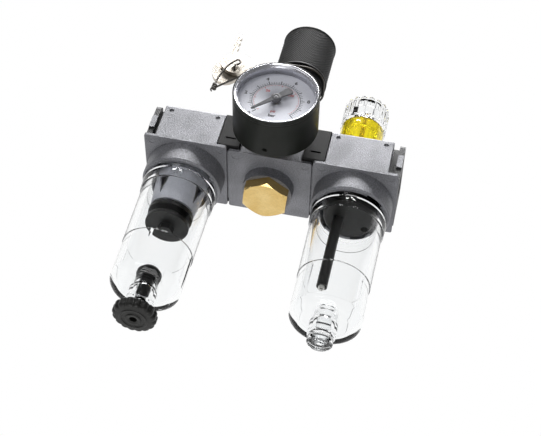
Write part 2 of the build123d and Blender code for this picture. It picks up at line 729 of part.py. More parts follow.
with BuildPart() as sector_gear:
    rod_y(regulator_x, pivot_z, 0.6, -arbor_rear, -arbor_rear - 5.2)
    with BuildSketch(Plane.XZ.offset(arbor_rear + 1.8)) as sweep_arm:
        with Locations((regulator_x, pivot_z)):
            Circle(-pivot_z - 1.1 - 0.15)
            Polygon((-1.6, -1.6), (1.6, -1.6), (9.4, 12.9), (-1.4, 15.9), align=None,
                    mode=Mode.INTERSECT)
    extrude(sweep_arm.sketch, amount=0.9)
save(sector_gear.part, "sector_gear")

with BuildPart() as gauge_socket:
    # hexagon and thread outside the case, block and nipple inside it
    hexagon_y(regulator_x, 0, socket_flats, -gauge_back + rest_gap / 2, -regulator_front - 0.65)
    rod_y(regulator_x, 0, gauge_bore - close, -regulator_front - 0.65,
          -regulator_front + gauge_bore_depth - 1)
    rod_y(regulator_x, 0, socket_flats / 2 - 1.3, -case_floor, -gauge_back + rest_gap / 2)
    block((regulator_x - 5, regulator_x + 5), (-case_floor - 4.5, -case_floor - rest_gap),
          (-tube_bend - 0.2, 4.6))
    rod_y(regulator_x, 0, 4.0, -case_floor - 1, -case_floor + 0.5)
    rod_y(regulator_x, 0, 1.0, -case_floor - 3, -regulator_front + gauge_bore_depth + 1,
          mode=Mode.SUBTRACT)
    # the slot that the tube is brazed into
    with BuildSketch(Plane.XY) as slot:
        with Locations((regulator_x + tube_bend, -tube_row)):
            RectangleRounded(tube_flat[0] + 0.1, tube_flat[1] + 0.1, 0.6)
    revolve(slot.sketch, axis=Axis((regulator_x, 0, 0), (0, 1, 0)), revolution_arc=tube_arc + 0.5,
            mode=Mode.SUBTRACT)
save(gauge_socket.part, "gauge_socket")

with BuildPart() as gauge_seal:
    turned_front([(gauge_bore + 0.1, regulator_front + close), (6.6, regulator_front + close),
                  (6.6, regulator_front + 0.6), (gauge_bore + 0.1, regulator_front + 0.6)])
save(gauge_seal.part, "gauge_seal")

with BuildPart() as bourdon_tube:
    # a flat tube bent in an arc, held in the socket's block at its lower end
    with BuildSketch(Plane.XY) as flat_tube:
        with Locations((regulator_x + tube_bend, -tube_row)):
            RectangleRounded(*tube_flat, 0.6)
    revolve(flat_tube.sketch, axis=Axis((regulator_x, 0, 0), (0, 1, 0)), revolution_arc=tube_arc)
save(bourdon_tube.part, "bourdon_tube")

# lubricator
tube_x = lubricator_x + tube_shift
with BuildPart() as lubricator_insert:
    turned(lubricator_x, [(0, -insert_foot), (insert_outer - 1.0, -insert_foot),
                          (insert_outer, -insert_foot + 1.0), (insert_outer, roof - rest_gap),
                          (0, roof - rest_gap)])
    post(tube_x, tube_outer + close, -insert_foot - 1, -insert_foot + 9, Mode.SUBTRACT)
    post(tube_x, 1.3, -insert_foot + 8, roof - 1.2, Mode.SUBTRACT)
    block((tube_x - 1.0, oil_duct[0] + 1.0), (-1.0, oil_duct[1] + 1.0), (roof - 1.6, roof),
          Mode.SUBTRACT)
    post(fill_x - 1.5, 1.8, -insert_foot - 1, roof, Mode.SUBTRACT, y=fill_y - 6.5)
save(lubricator_insert.part, "lubricator_insert")

with BuildPart() as pickup_tube:
    post(tube_x, tube_outer, -tube_foot, -insert_foot + 8.9)
    post(tube_x, tube_inner, -tube_foot - 1, -insert_foot + 10, Mode.SUBTRACT)
save(pickup_tube.part, "pickup_tube")

with BuildPart() as pickup_strainer:
    post(tube_x, tube_inner - close, -tube_foot - 1.2, -tube_foot + 4)
    post(tube_x, 0.7, -tube_foot - 2, -tube_foot + 3, Mode.SUBTRACT)
save(pickup_strainer.part, "pickup_strainer")

with BuildPart() as venturi_damper:
    # a rubber flap across the gallery, which bends open with the flow
    rod_x(gallery - 0.15, lubricator_x - 2.0, lubricator_x - 1.2)
    block((lubricator_x - 2.1, lubricator_x - 1.1), (-1.4, 1.4), (-gallery, -1.6), Mode.SUBTRACT)
save(venturi_damper.part, "venturi_damper")

dome_foot = sight_top + running
with BuildPart() as sight_glass:
    turned(sight_x, [(1.3, 5.6), (7.4, 5.6), (7.4, core_top + close), (sight_outer - 0.8, core_top + close),
                     (sight_outer, core_top + 1.2), (sight_outer, sight_top - 0.6),
                     (sight_outer - 0.6, sight_top), (sight_outer - sight_wall, sight_top),
                     (sight_outer - sight_wall, core_top + 2.4), (1.3, core_top + 2.4)])
    with BuildSketch(Plane.XY.offset(core_top + close)) as groove:
        with Locations((sight_x, 0)):
            Circle(9.5)
            Circle(8.1, mode=Mode.SUBTRACT)
    extrude(groove.sketch, amount=1.3, mode=Mode.SUBTRACT)
    rod_y(sight_x - 2.2, sight_top - 4.6, 1.9, -sight_outer + 1.0, -sight_outer - 0.2)
save(sight_glass.part, "sight_glass")

with BuildPart() as sight_seal:
    o_ring(sight_x, 8.8, 0.6, core_top + close + 0.62)
save(sight_seal.part, "sight_seal")

with BuildPart() as drip_tube:
    post(sight_x, 1.25, 4.0, sight_top + 4)
    post(sight_x, 0.6, 3.0, sight_top + 5, Mode.SUBTRACT)
save(drip_tube.part, "drip_tube")

neck_outer = sight_outer - sight_wall - running
with BuildPart() as sight_dome:
    turned(sight_x, [(neck_outer, dome_foot - 4.3), (neck_outer, dome_foot), (dome_outer, dome_foot),
                     (dome_outer, dome_top - 0.4), (dome_outer - 0.4, dome_top), (0, dome_top),
                     (0, dome_top - 3.0), (neck_outer - 1.6, dome_top - 3.0),
                     (neck_outer - 1.6, dome_foot - 4.3)])
    with BuildSketch(Plane.XY.offset(dome_foot + 1.2)) as flutes:
        with Locations((sight_x, 0)):
            with PolarLocations(dome_outer + 0.35, dome_flutes):
                Circle(0.95)
    extrude(flutes.sketch, amount=dome_top - dome_foot, mode=Mode.SUBTRACT)
save(sight_dome.part, "sight_dome")

with BuildPart() as metering_needle:
    turned(sight_x, [(0, sight_top + 4.4), (0.9, sight_top + 6.0), (0.9, dome_top - 3.0 - 0.02),
                     (0, dome_top - 3.0 - 0.02)])
save(metering_needle.part, "metering_needle")

with BuildPart() as fill_plug:
    post(fill_x, 2.6 - close, 5.0, core_top + 1, y=fill_y)
    with BuildSketch(Plane.XY.offset(core_top + close)) as head:
        with Locations((fill_x, fill_y)):
            RegularPolygon(4.3, 6)
    extrude(head.sketch, amount=3.4)
    block((fill_x - 5, fill_x + 5), (fill_y - 0.5, fill_y + 0.5),
          (core_top + 2.3, core_top + 4), Mode.SUBTRACT)
save(fill_plug.part, "fill_plug")

with BuildPart() as bowl_plug_seal:
    turned(lubricator_x, [(drain_hole + 0.1, boss_foot - 0.7), (5.4, boss_foot - 0.7),
                          (5.4, boss_foot - close), (drain_hole + 0.1, boss_foot - close)])
save(bowl_plug_seal.part, "bowl_plug_seal")

with BuildPart() as bowl_plug:
    turned(lubricator_x, [(0, boss_foot - 4.5), (1.6, boss_foot - 4.5), (2.2, boss_foot - 3.9),
                          (4.9, boss_foot - 4.3), (5.7, boss_foot - 3.6), (5.7, boss_foot - 0.75),
                          (drain_hole - close, boss_foot - 0.75), (drain_hole - close, floor + 1.0),
                          (drain_hole - 0.6, floor + 1.6), (0, floor + 1.6)])
save(bowl_plug.part, "bowl_plug")

# clamps between the modules
leg_inner = flange_wall + 0.15
for number, joint_x in ((1, pitch), (2, 2 * pitch)):
    with BuildPart() as front_clamp:
        block((joint_x - clamp_half, joint_x + clamp_half), (-front, -front + clamp_web + 3.7),
              (clamp_foot, clamp_top))
        fillet(front_clamp.edges().group_by(Axis.Y)[0], 0.4)
        block((joint_x - leg_inner, joint_x + leg_inner), (-front + clamp_web, 0),
              (clamp_foot - 1, clamp_top + 1), Mode.SUBTRACT)
        for height in (-screw_height, screw_height):
            rod_y(joint_x, height, screw_shank + close, -front + 0.9, 0, mode=Mode.SUBTRACT)
        block((joint_x - 2.3, joint_x + 2.5), (-front - 1, -front + 0.8), (-6.2, -5.2), Mode.SUBTRACT)
    save(front_clamp.part, f"front_clamp_{number}")
    with BuildPart() as rear_clamp:
        block((joint_x - clamp_half, joint_x + clamp_half), (back - clamp_web - 3.7, back),
              (clamp_foot, clamp_top))
        fillet(rear_clamp.edges().group_by(Axis.Y)[-1], 0.4)
        block((joint_x - leg_inner, joint_x + leg_inner), (0, back - clamp_web),
              (clamp_foot - 1, clamp_top + 1), Mode.SUBTRACT)
        for height in (-screw_height, screw_height):
            rod_y(joint_x, height, screw_shank + 0.15, 0, back + 1, mode=Mode.SUBTRACT)
            rod_y(joint_x, height, screw_head + 0.15, back - screw_head_high - 0.3, back + 1,
                  mode=Mode.SUBTRACT)
    save(rear_clamp.part, f"rear_clamp_{number}")

with BuildPart() as clamp_screws:
    for joint_x in (pitch, 2 * pitch):
        for height in (-screw_height, screw_height):
            head_foot = back - screw_head_high - 0.25
            rod_y(joint_x, height, screw_shank, -front + 1.1, head_foot)
            rod_y(joint_x, height, screw_head, head_foot, head_foot + screw_head_high)
            hexagon_y(joint_x, height, 2.0, head_foot + 0.8, back + 1, mode=Mode.SUBTRACT)
save(clamp_screws.part, "clamp_screws")

with BuildPart() as coupling_seals:
    for joint_x in (pitch, 2 * pitch):
        with BuildSketch(Plane.XY) as section:
            with Locations((joint_x - 0.65, seal_ring)):
                Circle(seal_wire)
        revolve(section.sketch, axis=Axis((0, 0, 0), (1, 0, 0)))
save(coupling_seals.part, "coupling_seals")

# keys on their wire ring
eye_reach = 37.4        # from the regulator's axis to the keys' holes
eye = (regulator_x - eye_reach, 74.1)  # the keys' holes, x and z
key_front = 11.0        # y of the front key's face
key_2_tuck = 2.85       # how far the key's tip reaches in behind the knob's left edge
key_2_reach = eye_reach - knob_outer + key_2_tuck
loop_z = 57.5           # the ring lies round the bonnet under the knob
loop_radius = bonnet_outer + wire + running


def key(nearest, lean, reach):
    # oval bow with the eye near its edge, blade with cuts on one side and a milled groove;
    # lean is the blade's angle from straight up, reach its tip's distance from the eye
    turn = radians(lean)
    stretch = (reach - 6) / 25

    def place(a, b):
        return (eye[0] + a * cos(turn) + b * sin(turn), eye[1] - a * sin(turn) + b * cos(turn))

    blade = [(-6.0, 6), (-6.0, 29.0), (-5.0, 31.0), (-4.0, 30.0), (-3.2, 27.5), (-4.2, 25.6),
             (-3.0, 23.6), (-3.9, 21.4), (-2.8, 19.4), (-3.4, 17.4), (-2.4, 15.0), (-2.4, 6)]
    blade = [(a, 6 + (b - 6) * stretch) for a, b in blade]
    groove = [(-5.3, 10), (-4.7, 10), (-4.7, reach - 3), (-5.3, reach - 3)]
    with BuildSketch(Plane.XZ.offset(-nearest)) as outline:
        with Locations(place(-4.3, 0)):
            Ellipse(7.5, 9.3, rotation=-lean)
        with BuildLine():
            Polyline(*[place(a, b) for a, b in blade], close=True)
        make_face()
    extrude(outline.sketch, amount=-key_wall)
    with BuildSketch(Plane.XZ.offset(-nearest)) as channel:
        with BuildLine():
            Polyline(*[place(a, b) for a, b in groove], close=True)
        make_face()
    extrude(channel.sketch, amount=-0.5, mode=Mode.SUBTRACT)
    rod_y(*place(0, 0), 1.7, nearest - 1, nearest + key_wall + 1, mode=Mode.SUBTRACT)


with BuildPart() as key_1:
    key(key_front + key_wall + 0.6, 2, 31.0)
save(key_1.part, "key_1")

with BuildPart() as key_2:
    key(key_front, 100, key_2_reach)
save(key_2.part, "key_2")

# the wire: twisted together beside the keys, through their eyes, then round the bonnet
twist_end = (eye[0] - 8.6, 9.0, eye[1] - 14.1)
bend_top = (eye[0] + 0.4, 8.6, eye[1] + 6.5)
ring_front = key_front - 2.2
ring_rear = key_front + 2 * key_wall + 2.2
with BuildPart() as key_ring:
    with BuildLine() as rear_half:
        FilletPolyline(
            twist_end,
            (bend_top[0] - 0.9, ring_front, bend_top[2]),
            (bend_top[0] + 1.7, ring_front, bend_top[2] - 0.6),
            (eye[0], ring_front, eye[1]),
            (eye[0], ring_rear, eye[1]),
            (regulator_x - loop_radius, loop_radius + 0.6, loop_z),
            (regulator_x + loop_radius, loop_radius, loop_z),
            (regulator_x + loop_radius, 0, loop_z),
            radius=[1.1, 1.1, 1.0, 2.0, 5.0, loop_radius * 0.99])
    with BuildSketch(Plane(rear_half.line @ 0, z_dir=rear_half.line % 0)) as rear_section:
        Circle(wire)
    sweep(rear_section.sketch, path=rear_half.line)
    with BuildLine() as front_half:
        FilletPolyline(
            (regulator_x + loop_radius, 0, loop_z),
            (regulator_x + loop_radius, -loop_radius, loop_z),
            (regulator_x - 14, -loop_radius, loop_z),
            (twist_end[0] + 0.6, twist_end[1] - 0.4, twist_end[2] + 1.2),
            radius=[loop_radius * 0.99, 8.0])
    with BuildSketch(Plane(front_half.line @ 0, z_dir=front_half.line % 0)) as front_section:
        Circle(wire)
    sweep(front_section.sketch, path=front_half.line)
    with BuildLine() as coil:
        Helix(pitch=1.2, height=3.6, radius=1.7 * wire,
              center=tuple(t + 0.04 * (b - t) for t, b in zip(twist_end, bend_top)),
              direction=tuple(b - t for t, b in zip(twist_end, bend_top)))
    with BuildSketch(Plane(coil.line @ 0, z_dir=coil.line % 0)) as coil_section:
        Circle(wire)
    sweep(coil_section.sketch, path=coil.line)
save(key_ring.part, "key_ring")
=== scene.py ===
import json

import bmesh
import bpy
import numpy as np
from mathutils import Euler, Matrix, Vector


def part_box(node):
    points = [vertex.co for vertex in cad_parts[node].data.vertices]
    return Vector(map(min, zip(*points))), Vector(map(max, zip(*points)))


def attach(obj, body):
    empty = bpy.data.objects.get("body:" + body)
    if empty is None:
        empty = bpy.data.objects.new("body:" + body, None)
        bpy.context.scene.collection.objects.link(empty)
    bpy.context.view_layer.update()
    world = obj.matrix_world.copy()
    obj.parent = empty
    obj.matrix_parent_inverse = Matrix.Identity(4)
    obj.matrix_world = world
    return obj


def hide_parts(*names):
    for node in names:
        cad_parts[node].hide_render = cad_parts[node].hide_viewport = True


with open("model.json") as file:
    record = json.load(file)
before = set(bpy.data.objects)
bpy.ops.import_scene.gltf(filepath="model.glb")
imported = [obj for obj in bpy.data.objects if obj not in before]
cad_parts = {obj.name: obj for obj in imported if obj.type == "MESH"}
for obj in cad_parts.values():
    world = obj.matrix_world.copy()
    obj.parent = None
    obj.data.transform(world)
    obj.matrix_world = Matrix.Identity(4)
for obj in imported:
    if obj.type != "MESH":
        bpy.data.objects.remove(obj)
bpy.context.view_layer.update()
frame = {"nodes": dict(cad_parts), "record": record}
nodes = frame["nodes"]
mm = 0.001
print("frame loaded:", len(nodes), "nodes")


# A node's lowest and highest corners in millimetres.
def cornersOf(node):
    low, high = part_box(node)
    return np.array(low) / mm, np.array(high) / mm


def middleOf(node):
    low, high = cornersOf(node)
    return (low + high) / 2


filterX = middleOf("filter_bowl_seal")[0]
regulatorX = middleOf("bonnet")[0]
lubricatorX = middleOf("lubricator_bowl_seal")[0]
sightX = middleOf("sight_dome")[0]


# Corners of a line of points made round by exact arcs: between a point A before a corner P
# and a point B after it, ((1-t)^2 A + 2wt(1-t) P + t^2 B) / ((1-t)^2 + 2wt(1-t) + t^2), where
# w is the cosine of half the turn. A corner with no reach stays one point. A point just
# outside each arc keeps the shading of the flat faces beside it flat.
def soften(points, reach, steps=13, closed=False, guard=0.05):
    p = np.asarray(points, float)
    reach = np.broadcast_to(np.asarray(reach, float), len(p)).copy()
    if not closed:
        reach[[0, -1]] = 0
    toBefore, toAfter = np.roll(p, 1, 0) - p, np.roll(p, -1, 0) - p
    lengthBefore = np.linalg.norm(toBefore, axis=1) + 1e-12
    lengthAfter = np.linalg.norm(toAfter, axis=1) + 1e-12
    shorter = np.minimum(lengthBefore, lengthAfter)
    cut = np.minimum(reach, 0.4 * shorter)
    outside = np.minimum(cut + guard, 0.48 * shorter)
    towards, away = toBefore / lengthBefore[:, None], toAfter / lengthAfter[:, None]
    a, b = p + towards * cut[:, None], p + away * cut[:, None]
    turn = np.clip(-np.sum(towards * away, axis=1), -1, 1)
    w = np.sqrt((1 + turn) / 2)[:, None, None]
    t = np.linspace(0, 1, steps)[None, :, None]
    curve = (1 - t) ** 2 * a[:, None] + 2 * w * t * (1 - t) * p[:, None] + t ** 2 * b[:, None]
    curve /= (1 - t) ** 2 + 2 * w * t * (1 - t) + t ** 2
    before, after = p + towards * outside[:, None], p + away * outside[:, None]
    curve = np.concatenate([before[:, None], curve, after[:, None]], 1)
    index = np.arange(-1, steps + 1)
    small, none = reach < 1.0, reach == 0
    keep = np.ones((len(p), steps + 2), bool)
    keep[small] = (index % (steps // 3) == 0) | (index < 0) | (index == steps)
    keep[none] = index == 0
    return curve[keep]


# Points added along a line of points so that no step is longer than a given length.
def evenly(points, step, closed=False):
    p = np.asarray(points, float)
    if closed:
        p = np.vstack([p, p[:1]])
    lengths = np.linalg.norm(np.diff(p, axis=0), axis=1)
    at = np.concatenate([[0], np.cumsum(lengths)])
    pieces = np.maximum(np.ceil(lengths / step).astype(int), 1)
    start = np.repeat(at[:-1], pieces)
    share = np.arange(pieces.sum()) - np.repeat(np.cumsum(pieces) - pieces, pieces)
    wanted = start + share * np.repeat(lengths / pieces, pieces)
    if not closed:
        wanted = np.append(wanted, at[-1])
    return np.stack([np.interp(wanted, at, p[:, i]) for i in range(p.shape[1])], 1)


# Quads between neighbours of a grid of points (u, v, xyz) in millimetres; u and v may close.
def gridMesh(name, points, wrapU=True, wrapV=False, capV=False, smooth=True):
    nu, nv = points.shape[:2]
    a, b = np.meshgrid(np.arange(nu if wrapU else nu - 1), np.arange(nv if wrapV else nv - 1),
                       indexing="ij")
    a2, b2 = (a + 1) % nu, (b + 1) % nv
    quads = np.stack([a * nv + b, a2 * nv + b, a2 * nv + b2, a * nv + b2], -1).reshape(-1, 4)
    polygons = quads.tolist()
    if capV:
        polygons += [(np.arange(nu)[::-1] * nv).tolist(), (np.arange(nu) * nv + nv - 1).tolist()]
    mesh = bpy.data.meshes.new(name)
    mesh.from_pydata(points.reshape(-1, 3) * mm, [], polygons)
    mesh.polygons.foreach_set("use_smooth", np.full(len(mesh.polygons), smooth))
    obj = bpy.data.objects.new(name, mesh)
    bpy.context.scene.collection.objects.link(obj)
    return obj


# Points that fall together at a pole or a seam become one.
def mergePoints(obj):
    work = bmesh.new()
    work.from_mesh(obj.data)
    bmesh.ops.remove_doubles(work, verts=work.verts, dist=1e-7)
    work.to_mesh(obj.data)
    work.free()


# A profile of (radius, height) points carried round an axis: r cos a, r sin a, h.
# shape(angle, radius, height) gives new radii and heights, for flutes, ribs and knurling.
# The axis is upright through (x, y), or with lying=True points to the front through (x, z).
def turned(name, profile, centre, steps=96, closed=False, shape=None, lying=False):
    p = np.asarray(profile, float)
    area = np.sum(p[:, 0] * np.roll(p[:, 1], -1) - np.roll(p[:, 0], -1) * p[:, 1])
    if area < 0:
        p = p[::-1]
    angle = np.linspace(0, 2 * np.pi, steps, endpoint=False)[:, None]
    radius = np.repeat(p[None, :, 0], steps, 0)
    height = np.repeat(p[None, :, 1], steps, 0)
    if shape is not None:
        radius, height = shape(angle, radius, height)
    across, along = radius * np.cos(angle), radius * np.sin(angle)
    if lying:
        grid = np.stack([centre[0] + across, -height, centre[1] + along], -1)
    else:
        grid = np.stack([centre[0] + across, centre[1] + along, height], -1)
    obj = gridMesh(name, grid, True, closed)
    if not closed:
        mergePoints(obj)
    return obj


# A circle carried along a path; its plane is turned by tangent x a fixed direction.
def tube(name, path, radius, sides=12, aside=(0.5, 0.45, 0.74)):
    p = np.asarray(path, float)
    along = np.gradient(p, axis=0)
    along /= np.linalg.norm(along, axis=1)[:, None]
    across = np.cross(along, aside)
    across /= np.linalg.norm(across, axis=1)[:, None]
    up = np.cross(along, across)
    angle = np.linspace(0, 2 * np.pi, sides, endpoint=False)[:, None, None]
    radius = np.broadcast_to(np.asarray(radius, float), len(p))[None, :, None]
    grid = p[None] + radius * (np.cos(angle) * across[None] + np.sin(angle) * up[None])
    return gridMesh(name, grid, True, False, True)


# One mesh from many separate flat quads, given as four corners each (n, 4, 3).
def plates(name, corners):
    n = len(corners)
    mesh = bpy.data.meshes.new(name)
    mesh.from_pydata(corners.reshape(-1, 3) * mm, [], np.arange(4 * n).reshape(n, 4).tolist())
    obj = bpy.data.objects.new(name, mesh)
    bpy.context.scene.collection.objects.link(obj)
    return obj


# Gives a new piece its finish and its body, and hides the nodes it stands for.
def finishPiece(obj, material, body, slot, *replaced):
    obj.data.materials.append(material)
    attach(obj, body)
    if replaced:
        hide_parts(*replaced)
    return obj


def link(tree, a, b):
    tree.links.new(a, b)


# Painted shade on the two end flanges and their necks: they are darkened to near black in place of the
# shadow that falls in their deep recesses. The mask is 1 where |x - middle| is past the face's edge,
# above the bottom plate and behind the raised land, and 0 elsewhere.
def darkenEnds(tree, place, colour, shader, ends):
    split = tree.nodes.new("ShaderNodeSeparateXYZ")
    link(tree, place.outputs["Object"], split.inputs[0])

    def step(operation, source, value):
        node = tree.nodes.new("ShaderNodeMath")
        node.operation = operation
        node.inputs[1].default_value = value
        link(tree, source, node.inputs[0])
        return node.outputs[0]

    def both(a, b):
        node = tree.nodes.new("ShaderNodeMath")
        node.operation = "MULTIPLY"
        link(tree, a, node.inputs[0])
        link(tree, b, node.inputs[1])
        return node.outputs[0]

    apart = tree.nodes.new("ShaderNodeMath")
    apart.operation = "ABSOLUTE"
    link(tree, step("SUBTRACT", split.outputs["X"], ends["middle"]), apart.inputs[0])
    endShadeMask = both(step("GREATER_THAN", apart.outputs[0], ends["beyond"]),
                step("GREATER_THAN", split.outputs["Z"], ends["above"]))
    endShadeMask = both(endShadeMask, step("GREATER_THAN", split.outputs["Y"], ends["behind"]))
    # near-black painted shade, mixed over the finish's colour where the mask is 1
    shadedEnds = tree.nodes.new("ShaderNodeMix")
    shadedEnds.data_type = "RGBA"
    shadedEnds.inputs["B"].default_value = (*ends["colour"], 1)
    link(tree, endShadeMask, shadedEnds.inputs["Factor"])
    link(tree, colour.outputs["Vector"], shadedEnds.inputs["A"])
    link(tree, shadedEnds.outputs["Result"], shader.inputs["Base Color"])


# A finish whose colour wanders between two colours and whose roughness wanders round a
# middle value, both with slow noise, and whose grain is a bump of fine noise. The noise
# reads Object coordinates in metres, so a scale of 1000 is a pattern about 1 mm wide. With a
# film, only the share of light that a clear sheet reflects stays, and the rest goes through.
def surface(name, look):
    mat = bpy.data.materials.new(name)
    mat.use_nodes = True
    tree = mat.node_tree
    tree.nodes.clear()
    out = tree.nodes.new("ShaderNodeOutputMaterial")
    shader = tree.nodes.new("ShaderNodeBsdfPrincipled")
    place = tree.nodes.new("ShaderNodeTexCoord")
    stretch = tree.nodes.new("ShaderNodeMapping")
    stretch.inputs["Scale"].default_value = look.get("stretch", (1, 1, 1))
    patches = tree.nodes.new("ShaderNodeTexNoise")
    patches.inputs["Scale"].default_value = look.get("patch", 120)
    patches.inputs["Detail"].default_value = 5.0
    fine = tree.nodes.new("ShaderNodeTexNoise")
    fine.inputs["Scale"].default_value = look["grain"]
    fine.inputs["Detail"].default_value = 2.0
    blend = tree.nodes.new("ShaderNodeMapRange")
    blend.inputs["From Min"].default_value = 0.35
    blend.inputs["From Max"].default_value = 0.65
    speckle = tree.nodes.new("ShaderNodeMapRange")
    speckle.inputs["From Min"].default_value = 0.25
    speckle.inputs["From Max"].default_value = 0.75
    speckle.inputs["To Min"].default_value = 1 - look.get("speckle", 0.0)
    speckle.inputs["To Max"].default_value = 1 + look.get("speckle", 0.0)
    mix = tree.nodes.new("ShaderNodeMix")
    mix.data_type = "RGBA"
    mix.inputs["A"].default_value = (*look["colour"], 1)
    mix.inputs["B"].default_value = (*look["second"], 1)
    bright = tree.nodes.new("ShaderNodeVectorMath")
    bright.operation = "SCALE"
    rough = tree.nodes.new("ShaderNodeMapRange")
    rough.inputs["From Min"].default_value = 0.3
    rough.inputs["From Max"].default_value = 0.7
    spread = look.get("spread", 0.06)
    rough.inputs["To Min"].default_value = max(look["rough"] - spread, 0)
    rough.inputs["To Max"].default_value = look["rough"] + spread
    relief = tree.nodes.new("ShaderNodeBump")
    relief.inputs["Strength"].default_value = look["bump"]
    relief.inputs["Distance"].default_value = 0.0002
    link(tree, place.outputs["Object"], stretch.inputs["Vector"])
    link(tree, stretch.outputs["Vector"], patches.inputs["Vector"])
    link(tree, stretch.outputs["Vector"], fine.inputs["Vector"])
    link(tree, patches.outputs["Fac"], blend.inputs["Value"])
    link(tree, blend.outputs["Result"], mix.inputs["Factor"])
    link(tree, mix.outputs["Result"], bright.inputs[0])
    link(tree, fine.outputs["Fac"], speckle.inputs["Value"])
    link(tree, speckle.outputs["Result"], bright.inputs["Scale"])
    link(tree, bright.outputs["Vector"], shader.inputs["Base Color"])
    link(tree, patches.outputs["Fac"], rough.inputs["Value"])
    link(tree, rough.outputs["Result"], shader.inputs["Roughness"])
    link(tree, fine.outputs["Fac"], relief.inputs["Height"])
    link(tree, relief.outputs["Normal"], shader.inputs["Normal"])
    link(tree, shader.outputs["BSDF"], out.inputs["Surface"])
    for socket in ("Metallic", "Transmission Weight", "IOR", "Coat Weight", "Coat Roughness"):
        if socket in look:
            shader.inputs[socket].default_value = look[socket]
    if "film" in look:
        edge = tree.nodes.new("ShaderNodeLayerWeight")
        edge.inputs["Blend"].default_value = 0.5
        steep = tree.nodes.new("ShaderNodeMath")
        steep.operation = "POWER"
        steep.inputs[1].default_value = 3.0
        share = tree.nodes.new("ShaderNodeMapRange")
        share.inputs["To Min"].default_value = look["film"]
        share.inputs["To Max"].default_value = 0.9
        link(tree, edge.outputs["Facing"], steep.inputs[0])
        link(tree, steep.outputs["Value"], share.inputs["Value"])
        link(tree, share.outputs["Result"], shader.inputs["Alpha"])
    # painted shade: the end flanges and their necks are darkened to stand in for the shadow in their
    # recesses
    if "ends" in look:
        darkenEnds(tree, place, bright, shader, look["ends"])
    return mat


# colour and second are the two colours, patch and grain the scales of the slow and the fine
# noise, speckle how far the grain shifts the colour, and spread how far the roughness wanders.
looks = {
    "body_paint": {"colour": (0.200, 0.202, 0.218), "second": (0.165, 0.167, 0.180), "rough": 0.5,
                   "grain": 1900, "bump": 0.8, "speckle": 0.42, "Metallic": 0.35,
                   # the ends' near-black colour is painted shade for the recesses of the end flanges and
                   # necks
                   "ends": {"middle": 0.060, "beyond": 0.0548, "above": -0.0111, "behind": -0.0166,
                            "colour": (0.022, 0.022, 0.023)}},
    "clear_polycarbonate": {"colour": (0.985, 0.99, 0.99), "second": (0.965, 0.975, 0.98),
                            "rough": 0.03, "spread": 0.02, "grain": 90, "bump": 0.04, "patch": 60,
                            "Transmission Weight": 1.0, "IOR": 1.3},
    "lens_plastic": {"colour": (0.97, 0.97, 0.98), "second": (0.93, 0.94, 0.95), "rough": 0.03,
                     "spread": 0.01, "grain": 60, "bump": 0.02, "patch": 50, "Metallic": 1.0,
                     "film": 0.03},
    "black_rubber": {"colour": (0.012, 0.012, 0.012), "second": (0.02, 0.02, 0.02), "rough": 0.6,
                     "grain": 1500, "bump": 0.3},
    "black_plastic": {"colour": (0.007, 0.007, 0.006), "second": (0.012, 0.012, 0.011),
                      "IOR": 1.35, "rough": 0.42, "grain": 1700, "bump": 0.35, "speckle": 0.15},
    "grey_plastic": {"colour": (0.62, 0.63, 0.69), "second": (0.55, 0.56, 0.62), "rough": 0.45,
                     "grain": 1400, "bump": 0.25, "speckle": 0.1},
    "knob_plastic": {"colour": (0.016, 0.016, 0.016), "second": (0.022, 0.022, 0.022),
                     "IOR": 1.28, "rough": 0.5, "grain": 1500, "bump": 0.3, "speckle": 0.2},
    "print_black": {"colour": (0.05, 0.05, 0.06), "second": (0.09, 0.09, 0.10), "rough": 0.6,
                    "grain": 2500, "bump": 0.1, "speckle": 0.2},
    "print_red": {"colour": (0.55, 0.06, 0.06), "second": (0.62, 0.12, 0.12), "rough": 0.6,
                  "grain": 2500, "bump": 0.1, "speckle": 0.2},
    "element_plastic": {"colour": (0.74, 0.73, 0.70), "second": (0.62, 0.61, 0.58), "rough": 0.85,
                        "grain": 3200, "bump": 1.0, "speckle": 0.2},
    "brass": {"colour": (0.74, 0.55, 0.24), "second": (0.66, 0.46, 0.17), "rough": 0.2,
              "grain": 900, "bump": 0.14, "speckle": 0.06, "Metallic": 1.0},
    "black_metal": {"colour": (0.008, 0.008, 0.008), "second": (0.012, 0.012, 0.012),
                    "IOR": 1.22, "rough": 0.5, "grain": 2200, "bump": 0.3, "speckle": 0.2},
    "case_black": {"colour": (0.006, 0.007, 0.005), "second": (0.010, 0.011, 0.009),
                   "IOR": 1.28, "rough": 0.4, "grain": 1500, "bump": 0.12, "speckle": 0.1},
    "steel": {"colour": (0.60, 0.60, 0.62), "second": (0.50, 0.50, 0.53), "rough": 0.32,
              "grain": 900, "bump": 0.15, "speckle": 0.08, "Metallic": 1.0},
    "silver_ring": {"colour": (0.72, 0.72, 0.76), "second": (0.64, 0.64, 0.68), "rough": 0.27,
                    "spread": 0.04, "grain": 500, "bump": 0.04, "Metallic": 1.0},
    "dial_white": {"colour": (0.84, 0.85, 0.92), "second": (0.81, 0.82, 0.89), "rough": 0.5,
                   "grain": 900, "bump": 0.05},
    "pointer_black": {"colour": (0.075, 0.075, 0.082), "second": (0.10, 0.10, 0.11),
                      "rough": 0.45, "grain": 1200, "bump": 0.1},
    "amber": {"colour": (0.97, 0.83, 0.02), "second": (0.93, 0.74, 0.01), "rough": 0.12,
              "grain": 200, "bump": 0.08, "Transmission Weight": 0.85, "IOR": 1.5},
    "nickel": {"colour": (0.58, 0.54, 0.48), "second": (0.44, 0.40, 0.35), "rough": 0.3,
               "grain": 1000, "bump": 0.2, "speckle": 0.08, "Metallic": 1.0},
    "wire": {"colour": (0.05, 0.045, 0.04), "second": (0.09, 0.08, 0.07), "rough": 0.35,
             "grain": 900, "bump": 0.2, "Metallic": 0.5},
}
finishes = {name: surface(name, look) for name, look in looks.items()}
